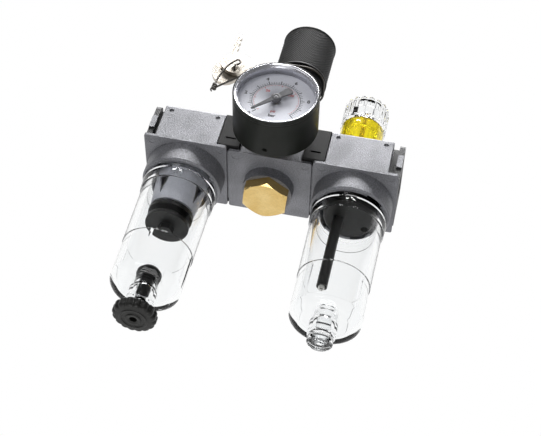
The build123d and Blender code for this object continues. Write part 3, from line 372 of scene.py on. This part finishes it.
slotOf = {s["node"]: s["material_slot"] for s in frame["record"]["subparts"]}
for name, node in nodes.items():
    node.data.materials.clear()
    node.data.materials.append(finishes[slotOf[name]])
print("finishes:", len(finishes))


# How far an angle lies from the nearest of some directions, all in degrees.
def fromDirections(angle, directions):
    apart = (np.degrees(angle)[..., None] - np.asarray(directions, float) + 180) % 360 - 180
    return np.min(np.abs(apart), axis=-1)


# The two clear bowls. Each is a closed wall turned about its module's axis, at heights below
# the top of its node: r = R + rib where a thin rib runs down the outside, R + lug at the three
# bayonet lugs, and the tab's own radius at the pointer tab on the ring, less a half-round notch.
bowl = {"rib": 0.35, "ribWide": 1.3, "lug": 1.2, "lugWide": 12, "lugs": (-90, 30, 150),
        "tab": 18.2, "tabAt": -88, "tabWide": 8, "notch": 1.1, "steps": 360,
        "inside": 13.9, "neck": 16.2, "groove": 14.9, "ring": 17.7, "wall": 16.05,
        "stub": 6.2, "seat": 5.2, "hole": 3.3}
bowls = {
    "filter_bowl": {"x": filterX, "ribs": -94.5},
    "lubricator_bowl": {"x": lubricatorX, "ribs": -126.0},
}
b = bowl
# neck with its seal's groove, ring with a slight taper, wall, round foot, stub and inside
bowlCorners = np.array([
    (b["inside"], 0, .2), (b["neck"], 0, .2), (b["neck"], -.8, .15), (b["groove"], -.8, .1),
    (b["groove"], -2.4, .1), (b["neck"], -2.4, .15), (b["neck"], -4.5, 0), (b["neck"], -4.56, 0),
    (b["neck"], -7.24, 0), (b["neck"], -7.3, 0), (b["neck"], -12.25, .2),
    (b["ring"], -12.25, .25), (17.68, -12.5, 0), (17.67, -12.56, 0), (17.42, -16.4, 0),
    (17.4, -16.7, 0), (17.38, -17.0, 0), (17.36, -17.3, 0), (17.34, -17.55, 0),
    (17.33, -17.6, 0), (17.3, -18.15, .25), (16.75, -18.15, .15), (16.4, -49.55, .25),
    (b["wall"], -49.55, .12), (b["wall"], -52, 0), (b["wall"], -62.65, 0),
    (b["wall"], -72.65, 9.98), (b["stub"], -72.65, .3), (b["stub"], -78.65, .3),
    (b["hole"], -78.65, .2), (b["hole"], -65.65, .2), (b["seat"], -65.65, .3),
    (b["seat"], -69.65, .5), (b["inside"], -69.65, 7.5)])
bowlTop = cornersOf("filter_bowl")[1][2]
for name, about in bowls.items():
    def shape(angle, radius, height, ribs=about["ribs"]):
        ribApart = fromDirections(angle, ribs + 90 * np.arange(4))
        onRib = (height < -49.7) & (height > -62.7) & (radius > 15.5)
        radius = radius + bowl["rib"] * onRib * np.clip(2 - ribApart / bowl["ribWide"] * 1.5, 0, 1)
        onLug = (height < -4.53) & (height > -7.27) & (radius > 15.5)
        lugApart = fromDirections(angle, bowl["lugs"])
        radius = radius + bowl["lug"] * onLug * (lugApart < bowl["lugWide"])
        tabApart = fromDirections(angle, [bowl["tabAt"]])
        onTab = (height < -12.52) & (height > -17.58) & (radius > 17) & (tabApart < bowl["tabWide"])
        aside = np.radians(tabApart) * bowl["ring"]
        onTab &= aside ** 2 + (height + 17.58) ** 2 > bowl["notch"] ** 2
        return np.where(onTab, bowl["tab"], radius), height + bowlTop

    outline = soften(bowlCorners[:, :2], bowlCorners[:, 2], closed=True)
    obj = turned(name + "Clear", outline, (about["x"], 0), bowl["steps"], True, shape)
    finishPiece(obj, finishes["clear_polycarbonate"], name, "clear_polycarbonate", name)
print("bowls turned:", len(bowls))


# The adjusting knob: outside its plain rims r = R - d min(tri(u + v), tri(u - v)), where u
# counts the diamonds round it, v those up it, and tri rises and falls between 0 and 1.
low, high = cornersOf("adjusting_knob")
knob = {"foot": low[2], "top": high[2], "outer": high[0] - regulatorX, "bore": 12.5,
        "web": low[2] + 16.6, "lock": 6.05, "spindle": 3.95, "round": 66, "up": 20,
        "deep": 0.34, "plainFoot": 1.6, "plainTop": 0.9, "edge": 0.4}


def triangle(x):
    return 1 - np.abs(2 * (x % 1) - 1)


def knurled(angle, radius, height):
    start, end = knob["foot"] + knob["plainFoot"], knob["top"] - knob["plainTop"]
    v = (height - start) / (end - start) * knob["up"]
    u = angle / (2 * np.pi) * knob["round"]
    inside = (radius > knob["outer"] - 0.05) & (height > start) & (height < end)
    deep = 0.06 + knob["deep"] * (1 - np.minimum(triangle(u + v), triangle(u - v)) ** 0.8)
    groove = (radius > knob["outer"] - 0.05) & (np.abs(height - start + 0.35) < 0.2)
    return radius - inside * deep - groove * 0.25, height


k = knob
knobCorners = [(k["outer"], k["foot"], .3), (k["outer"], k["foot"] + 1.0, 0),
               (k["outer"], k["foot"] + 1.1, 0), (k["outer"], k["foot"] + 1.2, 0),
               (k["outer"], k["foot"] + 1.4, 0),
               (k["outer"], k["foot"] + 1.5, 0), (k["outer"], k["foot"] + k["plainFoot"], 0),
               (k["outer"], k["top"] - k["plainTop"], 0), (k["outer"], k["top"], k["edge"]),
               (k["lock"] + 1.2, k["top"], .1), (k["lock"] + .9, k["top"] - .3, .1),
               (k["lock"] + .3, k["top"] - .3, .1), (k["lock"], k["top"] - .6, .1),
               (k["lock"], k["web"] + 2.6, 0), (k["spindle"], k["web"] + 2.6, .1),
               (k["spindle"], k["web"], .1), (k["bore"], k["web"], .3), (k["bore"], k["foot"], .2)]
knobCorners = np.array(knobCorners)
outline = soften(knobCorners[:, :2], knobCorners[:, 2], closed=True)
wall = np.flatnonzero(np.abs(outline[:, 1] - (k["foot"] + k["plainFoot"])) < 1e-6)[0]
fine = np.linspace(outline[wall], outline[wall + 1], k["up"] * 6 + 1)
outline = np.vstack([outline[:wall], fine, outline[wall + 2:]])
obj = turned("knurledKnob", outline, (regulatorX, 0), k["round"] * 6, True, knurled)
finishPiece(obj, finishes["knob_plastic"], "knob", "black_plastic", "adjusting_knob")

# The drain knob: r = R - d (0.5 + 0.5 cos 16a)^2 on its outside, sixteen lobes with a shallow
# groove between each two, and a raised ring round the hole below.
low, high = cornersOf("drain_knob")
drain = {"foot": low[2], "top": high[2], "outer": 9.9, "lobes": 16, "deep": 0.55, "hole": 1.6}


def lobed(angle, radius, height):
    wave = (0.5 + 0.5 * np.cos(drain["lobes"] * angle)) ** 2
    share = np.clip((radius - 6.6) / 2.4, 0, 1)
    return radius - drain["deep"] * share * wave, height


d = drain
drainCorners = [(d["hole"], d["foot"] + 2.5, .2), (d["hole"], d["foot"] + .3, .3), (2.7, d["foot"], .2),
                (3.4, d["foot"], .2), (3.7, d["foot"] + .5, .2), (5.2, d["foot"] + .5, .15),
                (5.4, d["foot"] + .15, .1), (6.2, d["foot"] + .15, .1), (6.4, d["foot"] + .5, .15),
                (7.6, d["foot"] + .6, 0), (8.9, d["foot"] + .7, .5), (d["outer"], d["foot"] + 1.7, .5),
                (d["outer"], d["top"] - .9, .5), (9.0, d["top"], .3), (6.4, d["top"], .3),
                (6.2, d["top"] - .8, .2), (2.93, d["top"] - .8, .1), (2.93, d["foot"] + 2.5, .1)]
drainCorners = np.array(drainCorners)
outline = soften(drainCorners[:, :2], drainCorners[:, 2], closed=True)
outline = evenly(outline, 0.8, True)
obj = turned("lobedKnob", outline, (filterX, 0), 240, True, lobed)
finishPiece(obj, finishes["black_plastic"], "drain", "black_plastic", "drain_knob")
print("knobs turned")


# The gauge, turned about an axis that points to the front. Profiles are of (radius, distance
# in front of the module's axis).
low, high = cornersOf("gauge_case")
gauge = {"outer": (high[0] - low[0]) / 2, "back": -high[1], "lip": -low[1], "dial": 42.8,
         "mouth": 19.25, "bezel": 17.6, "inside": 17.9, "socket": 4.8}
g = gauge
caseCorners = [(g["socket"], g["back"], 0), (g["outer"], g["back"], 1.6),
               (g["outer"], g["lip"] - 2.6, .3),
               (g["outer"] - .12, g["lip"] - 2.45, .1), (g["outer"] - .12, g["lip"] - 2.2, .1),
               (g["outer"], g["lip"] - 2.05, .1), (g["outer"], g["lip"], .25),
               (g["mouth"], g["lip"], .12), (g["mouth"], g["dial"] - .9, 0),
               (g["inside"], g["dial"] - .9, 0), (g["inside"], g["back"] + 2, 1),
               (g["socket"], g["back"] + 2, 0)]
caseCorners = np.array(caseCorners)
relief = {"x": -1.0, "along": g["back"] + 4.9, "radius": 1.1, "deep": 1.6, "edge": 0.15}


# The small relief hole underneath: r falls by its depth inside a circle round (x, along).
def pierced(angle, radius, height):
    away = np.hypot(radius * np.cos(angle) - relief["x"], height - relief["along"])
    below = (np.sin(angle) < 0) & (radius > g["outer"] - 0.1)
    inHole = np.clip((relief["radius"] - away) / relief["edge"], 0, 1)
    return radius - relief["deep"] * below * inHole, height


outline = soften(caseCorners[:, :2], caseCorners[:, 2], closed=True)
onWall = (np.abs(outline[:, 0] - g["outer"]) < 1e-6) & (outline[:, 1] < g["back"] + 2)
wall = np.flatnonzero(onWall)[-1]
fine = np.linspace(outline[wall], [g["outer"], g["back"] + 8.0], 60)
outline = np.vstack([outline[:wall], fine, outline[wall + 1:]])
obj = turned("gaugeCase", outline, (regulatorX, 0), 600, True, pierced, lying=True)
finishPiece(obj, finishes["case_black"], "frame", "case_black", "gauge_case")

# Bright ring inside the lip, with a step down to the lens.
ringCorners = [(g["mouth"] - .05, g["dial"] + .1, 0), (g["mouth"] - .05, g["lip"] - .1, .12),
               (g["mouth"] - .35, g["lip"] + .05, .12), (18.75, g["lip"], .12),
               (18.5, g["lip"] - .5, .1), (18.15, g["lip"] - .55, .1),
               (g["bezel"], g["lip"] - 1.3, .15), (g["bezel"], g["dial"] + .1, 0)]
ringCorners = np.array(ringCorners)
outline = soften(ringCorners[:, :2], ringCorners[:, 2], closed=True)
obj = turned("gaugeBezel", outline, (regulatorX, 0), 256, True, lying=True)
finishPiece(obj, finishes["silver_ring"], "frame", "silver_ring", "gauge_bezel")

lensCorners = np.array([(0, g["lip"] - 1.9, 0), (17.55, g["lip"] - 1.9, .1), (17.55, g["lip"] - .9, .15),
                        (9, g["lip"] - .79, 0), (0, g["lip"] - .75, 0)])
outline = soften(lensCorners[:, :2], lensCorners[:, 2])
obj = turned("gaugeLens", outline, (regulatorX, 0), 192, lying=True)
finishPiece(obj, finishes["lens_plastic"], "frame", "lens_plastic", "gauge_lens")

dialCorners = np.array([(.9, g["dial"] - .8, 0), (19.1, g["dial"] - .8, 0), (19.1, g["dial"], 0),
                        (17.4, g["dial"], .2), (17.2, g["dial"] - .12, .1), (.9, g["dial"] - .12, 0)])
outline = soften(dialCorners[:, :2], dialCorners[:, 2], closed=True)
obj = turned("dialPlate", outline, (regulatorX, 0), 192, True, lying=True)
finishPiece(obj, finishes["dial_white"], "frame", "dial_white", "gauge_dial")


# Flat marks on the dial at polar places: each is a quad from an inner to an outer radius,
# wide across, about its own direction: (r cos a -+ w sin a, r sin a +- w cos a).
def dialMarks(directions, inner, outer, wide):
    n = len(directions)
    a = np.radians(directions)[:, None]
    r = np.stack([np.broadcast_to(inner, n), np.broadcast_to(outer, n)], 1)[:, [0, 1, 1, 0]]
    w = np.broadcast_to(wide, n)[:, None] / 2 * np.array([[-1, -1, 1, 1]])
    x = r * np.cos(a) - w * np.sin(a)
    z = r * np.sin(a) + w * np.cos(a)
    y = np.full_like(x, -(g["dial"] - .12 + .03))
    return np.stack([regulatorX + x, y, z], -1)[:, ::-1]


# A thin arc as a row of short quads.
def dialArc(radius, wide, start, end, n=180):
    a = np.linspace(np.radians(start), np.radians(end), n + 1)
    y = np.full(n + 1, -g["dial"] + .09)

    def edge(r):
        return np.stack([regulatorX + r * np.cos(a), y, r * np.sin(a)], -1)

    near, far = edge(radius - wide / 2), edge(radius + wide / 2)
    return np.stack([near[:-1], far[:-1], far[1:], near[1:]], 1)[:, ::-1]


# the black scale has 50 steps, and the red one 29 steps of 5 over the same arc
scale = {"start": 225, "sweep": 270, "black": 10.9, "red": 10.2}
scaleEnd = scale["start"] - scale["sweep"]
fiftieths = scale["start"] - np.arange(51) * scale["sweep"] / 50
long = np.arange(51) % 5 == 0
blackMarks = np.concatenate([
    dialMarks(fiftieths, scale["black"], np.where(long, 12.9, 12.2), np.where(long, 0.42, 0.24)),
    dialArc(scale["black"], 0.26, scale["start"], scaleEnd)])
thirtieths = scale["start"] - np.arange(0, 150, 5) * scale["sweep"] / 145
longRed = np.arange(30) % 5 == 0
redMarks = np.concatenate([
    dialMarks(thirtieths, np.where(longRed, 9.3, 9.7), scale["red"], np.where(longRed, 0.3, 0.16)),
    dialArc(scale["red"], 0.12, scale["start"], scaleEnd)])


# Numbers and units as flat letters on the dial, made into one mesh.
def dialLetters(name, texts):
    spots = []
    for text, direction, radius, size in texts:
        curve = bpy.data.curves.new(name, "FONT")
        curve.body = text
        curve.size = size * mm
        curve.align_x = "CENTER"
        curve.align_y = "CENTER"
        curve.resolution_u = 3
        curve.offset = 0.03 * size * mm
        holder = bpy.data.objects.new(name, curve)
        mesh = bpy.data.meshes.new_from_object(holder)
        a = np.radians(direction)
        flat = np.zeros(len(mesh.vertices) * 3)
        mesh.vertices.foreach_get("co", flat)
        flat = flat.reshape(-1, 3)
        place = [regulatorX + radius * np.cos(a), -(g["dial"] - .08), radius * np.sin(a)]
        standing = np.stack([flat[:, 0], -flat[:, 2], flat[:, 1]], 1) + np.array(place) * mm
        spots.append((standing, [list(p.vertices) for p in mesh.polygons]))
        bpy.data.objects.remove(holder)
        bpy.data.meshes.remove(mesh)
        bpy.data.curves.remove(curve)
    sizes = np.cumsum([0] + [len(s[0]) for s in spots])
    faces = [[v + start for v in f] for (_, fs), start in zip(spots, sizes) for f in fs]
    mesh = bpy.data.meshes.new(name)
    mesh.from_pydata(np.concatenate([s[0] for s in spots]), [], faces)
    obj = bpy.data.objects.new(name, mesh)
    bpy.context.scene.collection.objects.link(obj)
    return obj


# (text, direction, distance from the middle, height of the letters)
bars = [(str(n), scale["start"] - n * scale["sweep"] / 10, 14.6, 2.7) for n in range(0, 11, 2)]
pounds = [(str(n), scale["start"] - n * scale["sweep"] / 145, 7.4, 2.0) for n in (50, 100)]
obj = plates("blackScale", blackMarks)
finishPiece(obj, finishes["print_black"], "frame", "pointer_black")
obj = plates("redScale", redMarks)
finishPiece(obj, finishes["print_red"], "frame", "pointer_black")
obj = dialLetters("blackNumbers", bars + [("bar", 270, 9.8, 2.5)])
finishPiece(obj, finishes["print_black"], "frame", "pointer_black")
obj = dialLetters("redNumbers", pounds + [("psi", 270, 7.0, 2.0)])
finishPiece(obj, finishes["print_red"], "frame", "pointer_black")

# The pointer: half its width along its length, w(s), mirrored about its middle line, with
# its edges rounded over; s runs from the tail to the tip.
needle = {"s": (-8.3, -7.6, -6.4, -4.5, -2.0, 0, 2.0, 8.0, 12.8, 13.4),
          "w": (1.2, 2.1, 2.2, 1.75, 1.45, 1.4, 1.3, 0.8, 0.5, 0.25), "front": 45.25, "thick": 0.5,
          "points": scale["start"]}
s = np.linspace(needle["s"][0], needle["s"][-1], 90)
w = np.interp(s, needle["s"], needle["w"])
section = np.array([(-1, 0), (-1, .7), (-.85, 1), (.85, 1), (1, .7), (1, 0)])
side = section[None, :, 0] * w[:, None]
lift = needle["front"] - needle["thick"] + section[None, :, 1] * needle["thick"] + 0 * side
a = np.radians(needle["points"])
x = regulatorX + s[:, None] * np.cos(a) - side * np.sin(a)
z = s[:, None] * np.sin(a) + side * np.cos(a)
grid = np.stack([x, -lift, z], -1).transpose(1, 0, 2)
obj = gridMesh("needle", grid, True, False, True, False)
finishPiece(obj, finishes["pointer_black"], "pointer", "pointer_black", "gauge_pointer")

# its hub and the bright cap on it
hubCorners = np.array([(0, 43.3, 0), (2.2, 43.3, .1), (2.2, 45.35, .25), (1.2, 45.6, .2),
                       (.75, 45.45, .1), (0, 45.45, 0)])
outline = soften(hubCorners[:, :2], hubCorners[:, 2])
obj = turned("needleHub", outline, (regulatorX, 0), 64, lying=True)
finishPiece(obj, finishes["pointer_black"], "pointer", "pointer_black", "gauge_pointer")
capCorners = np.array([(0, 45.44, 0), (.62, 45.44, .05), (.6, 45.58, .05), (0, 45.6, 0)])
outline = soften(capCorners[:, :2], capCorners[:, 2])
obj = turned("needleCap", outline, (regulatorX, 0), 32, lying=True)
finishPiece(obj, finishes["silver_ring"], "pointer", "silver_ring")
print("gauge made, marks:", len(blackMarks) + len(redMarks))


# The yellow sight base: a thick ring turned about the sight's axis, with a round boss on its
# front left where r = R + b (1 - (d / c)^6), d being the distance from the boss's centre.
low, high = cornersOf("sight_glass")
sight = {"foot": low[2], "top": high[2], "outer": 10.5, "bore": 8.2, "rim": 11.65,
         "boss": 0.25, "bossWide": 2.1, "bossTurn": -104, "bossDrop": 5.0}
sg = sight
rim = sg["rim"]
sightCorners = np.array([(1.3, sg["foot"], 0), (7.4, sg["foot"], .2), (7.4, rim, .1),
                         (sg["outer"], rim, .7), (sg["outer"], rim + 3.2, .3),
                         (sg["outer"] - .25, rim + 3.5, .1), (sg["outer"] - .25, rim + 4.0, .1),
                         (sg["outer"], rim + 4.3, .3), (sg["outer"], sg["top"], .6),
                         (sg["bore"], sg["top"], .3), (sg["bore"], 14.0, .8), (1.3, 14.0, 0)])
outline = evenly(soften(sightCorners[:, :2], sightCorners[:, 2], closed=True), 0.6, True)


def bossed(angle, radius, height):
    aside = np.radians(fromDirections(angle, [sg["bossTurn"]])) * sg["outer"]
    away = np.hypot(aside, height - (sg["top"] - sg["bossDrop"])) / sg["bossWide"]
    raised = np.clip(1 - away ** 6, 0, 1) * (radius > sg["outer"] - .05)
    return radius + sg["boss"] * raised * (0.55 + 0.45 * np.clip(away * 2 - .6, 0, 1)), height


obj = turned("sightBase", outline, (sightX, 0), 240, True, bossed)
finishPiece(obj, finishes["amber"], "frame", "amber", "sight_glass")

# The clear dome: outside, r = R - f (1 - |cos(n a / 2)|^0.6), and the flutes cut its top rim
# into a wavy crown, z = top - c (1 - |cos|) near the edge.
low, high = cornersOf("sight_dome")
dome = {"foot": low[2], "top": high[2], "outer": 11.2, "step": 32.6, "neck": 7.9, "bore": 6.3,
        "flutes": 18, "deep": 0.8, "crown": 1.8}
dm = dome
domeCorners = np.array([(0, dm["top"] - 3.0, 0), (dm["bore"], dm["top"] - 3.0, .6),
                        (dm["bore"], dm["foot"], .1), (dm["neck"], dm["foot"], .1),
                        (dm["neck"], dm["step"], .1), (dm["outer"], dm["step"], .25),
                        (dm["outer"], dm["step"] + 1.2, .1), (dm["outer"], dm["top"], .3),
                        (9.2, dm["top"], .3), (8.8, dm["top"] - .5, .3), (0, dm["top"] - .5, 0)])
outline = evenly(soften(domeCorners[:, :2], domeCorners[:, 2]), 0.5)


def fluted(angle, radius, height):
    wave = 1 - np.abs(np.cos(dm["flutes"] * angle / 2)) ** 0.6
    wall = np.clip((radius - 9.8) / 1.2, 0, 1) * np.clip((height - dm["step"] - 1.1) / .3, 0, 1)
    crown = np.clip((radius - 9.0) / 1.0, 0, 1) * np.clip((height - dm["top"] + 2.4) / 2.4, 0, 1)
    return radius - dm["deep"] * wall * wave, height - dm["crown"] * crown * wave


obj = turned("flutedDome", outline, (sightX, 0), 400, False, fluted)
finishPiece(obj, finishes["clear_polycarbonate"], "dome", "clear_polycarbonate", "sight_dome")

# The bowl's clear plug, with a grip ring round its foot.
low, high = cornersOf("bowl_plug")
plug = {"foot": low[2], "top": high[2], "grip": 5.7, "shank": 3.25}
foot, top, grip, shank = plug.values()
plugCorners = np.array([(0, foot, 0), (1.6, foot, .2), (2.2, foot + .6, .2), (4.9, foot + .2, .2),
                        (grip, foot + .9, .3), (grip, foot + 1.9, .15), (grip - .3, foot + 2.1, .1),
                        (grip - .3, foot + 2.5, .1), (grip, foot + 2.7, .15),
                        (grip, foot + 3.75, .2), (shank, foot + 3.75, .1), (shank, top - .6, .1),
                        (2.7, top, .1), (0, top, 0)])
outline = evenly(soften(plugCorners[:, :2], plugCorners[:, 2]), 0.8)
obj = turned("clearPlug", outline, (lubricatorX, 0), 128)
finishPiece(obj, finishes["clear_polycarbonate"], "lubricator_bowl", "clear_polycarbonate", "bowl_plug")
print("sight glass, dome and plug turned")


# The key ring: one stiff wire, its route made of straight lines with round corners, up from
# the twist, over, down through the keys' holes, round the bonnet and back to the twist.
wire = {"thick": 0.5, "loop": 12.9, "loopZ": 57.5, "front": 8.8, "rear": 17.0, "eye": (22.6, 74.1),
        "twist": (16.2, 8.9, 54.0), "pitch": 1.3, "turns": 3.2, "apart": 0.95, "stray": 1.3}
w = wire
route = np.array([
    (*w["twist"], 0), (16.2, 8.9, 63.0, 9), (19.2, 8.8, 74.0, 6), (23.6, w["front"], 79.6, 2.5),
    (25.6, w["front"], 77.0, 2.0), (w["eye"][0], w["front"], w["eye"][1], 1.0),
    (w["eye"][0], w["rear"], w["eye"][1], 3.2), (regulatorX - w["loop"], w["loop"] + .6, w["loopZ"], 7),
    (regulatorX + w["loop"], w["loop"], w["loopZ"], w["loop"] * .99),
    (regulatorX + w["loop"], -w["loop"], w["loopZ"], w["loop"] * .99),
    (regulatorX - 14, -w["loop"], w["loopZ"], 8),
    (w["twist"][0] + .6, w["twist"][1] - .4, w["twist"][2] + 1.2, 0)])
path = evenly(soften(route[:, :3], route[:, 3], 25), 0.45)
obj = tube("wireRing", path, w["thick"], 14)
finishPiece(obj, finishes["wire"], "ring", "wire", "key_ring")

# The twist at its end: a helix c + s d + q (n cos 2 pi s / p + m sin 2 pi s / p) about the
# wire's own direction d, with a free end that stands off.
start, towards = np.array(w["twist"]), np.array(route[1, :3]) - np.array(w["twist"])
towards /= np.linalg.norm(towards)
n = np.cross(towards, (0, 1, 0))
n /= np.linalg.norm(n)
m = np.cross(towards, n)
s = np.linspace(-0.2, w["pitch"] * w["turns"], 90)
q = w["apart"] + w["stray"] * np.clip(0.4 - s, 0, 1) ** 1.5
phase = 2 * np.pi * s / w["pitch"]
around = np.cos(phase)[:, None] * n + np.sin(phase)[:, None] * m
coil = start + s[:, None] * towards + q[:, None] * around
thick = np.interp(s, [-.2, 0, 3.9, 4.16], [.3, .47, .47, .3])
obj = tube("wireTwist", coil, thick, 10, aside=tuple(towards))
finishPiece(obj, finishes["wire"], "ring", "wire", "key_ring")
print("wire ring drawn")

# The object lies on its back on a glowing pale table, so the table stands upright here.
# Its back side is see-through, so that the object's own back can be looked at. Sizes are in
# millimetres.
stage = {"behind": 0.4, "half": 1600, "glow": 1.0}
tableY = cornersOf("regulator_body")[1][1] + stage["behind"]
ends = np.array([-stage["half"], stage["half"]], float)
tablePoints = np.stack([np.repeat(ends[:, None], 2, 1), np.full((2, 2), tableY),
                        np.repeat(ends[None], 2, 0)], -1)
table = gridMesh("table", tablePoints, False, smooth=False)
tableLook = bpy.data.materials.new("tableLook")
tableLook.use_nodes = True
tree = tableLook.node_tree
tree.nodes.clear()
out = tree.nodes.new("ShaderNodeOutputMaterial")
glow = tree.nodes.new("ShaderNodeEmission")
glow.inputs["Strength"].default_value = stage["glow"]
seeThrough = tree.nodes.new("ShaderNodeBsdfTransparent")
facing = tree.nodes.new("ShaderNodeNewGeometry")
either = tree.nodes.new("ShaderNodeMixShader")
link(tree, facing.outputs["Backfacing"], either.inputs[0])
link(tree, glow.outputs["Emission"], either.inputs[1])
link(tree, seeThrough.outputs["BSDF"], either.inputs[2])
link(tree, either.outputs["Shader"], out.inputs["Surface"])
table.data.materials.append(tableLook)

world = bpy.context.scene.world or bpy.data.worlds.new("world")
bpy.context.scene.world = world
world.use_nodes = True
room = {"colour": (0.97, 0.98, 1.0), "strength": 0.2}
background = world.node_tree.nodes["Background"]
background.inputs["Color"].default_value = (*room["colour"], 1)
background.inputs["Strength"].default_value = room["strength"]

# looks up at the object from below its front, turned about X, Y and Z in degrees
camera = {"place": (0.1385, -0.4263, -0.3953), "turned": (131.12, -12.29, -0.75), "lens": 81.93}
cameraData = bpy.data.cameras.new("camera")
cameraData.lens = camera["lens"]
cameraData.sensor_width = 36
cameraObject = bpy.data.objects.new("camera", cameraData)
bpy.context.scene.collection.objects.link(cameraObject)
turn = Euler(np.radians(camera["turned"]).tolist()).to_matrix().to_4x4()
cameraObject.matrix_world = Matrix.Translation(camera["place"]) @ turn
bpy.context.scene.camera = cameraObject


# A rectangular light that faces its target.
def softbox(name, place, target, size, power):
    data = bpy.data.lights.new(name, "AREA")
    data.shape = "RECTANGLE"
    data.size, data.size_y = size
    data.energy = power
    obj = bpy.data.objects.new(name, data)
    bpy.context.scene.collection.objects.link(obj)
    back = np.subtract(place, target)
    back = back / np.linalg.norm(back)
    side = np.cross((0, 0.01, 1), back)
    side /= np.linalg.norm(side)
    turn = np.array([side, np.cross(back, side), back]).T
    obj.matrix_world = Matrix.Translation(place) @ Matrix(turn.tolist()).to_4x4()


lightTarget = (0.06, 0, 0)
lights = {
    "overhead": {"place": (0.0, -0.50, 1.35), "size": (1.2, 0.5), "power": 50},
    "under": {"place": (0.1, -0.35, -1.3), "size": (0.8, 0.6), "power": 8},
    "frontFill": {"place": (-0.5, -1.3, 0.15), "size": (0.7, 0.5), "power": 5},
}
for name, light in lights.items():
    softbox(name, target=lightTarget, **light)
bpy.context.scene.view_settings.view_transform = "Standard"
print("stage, light and camera set")
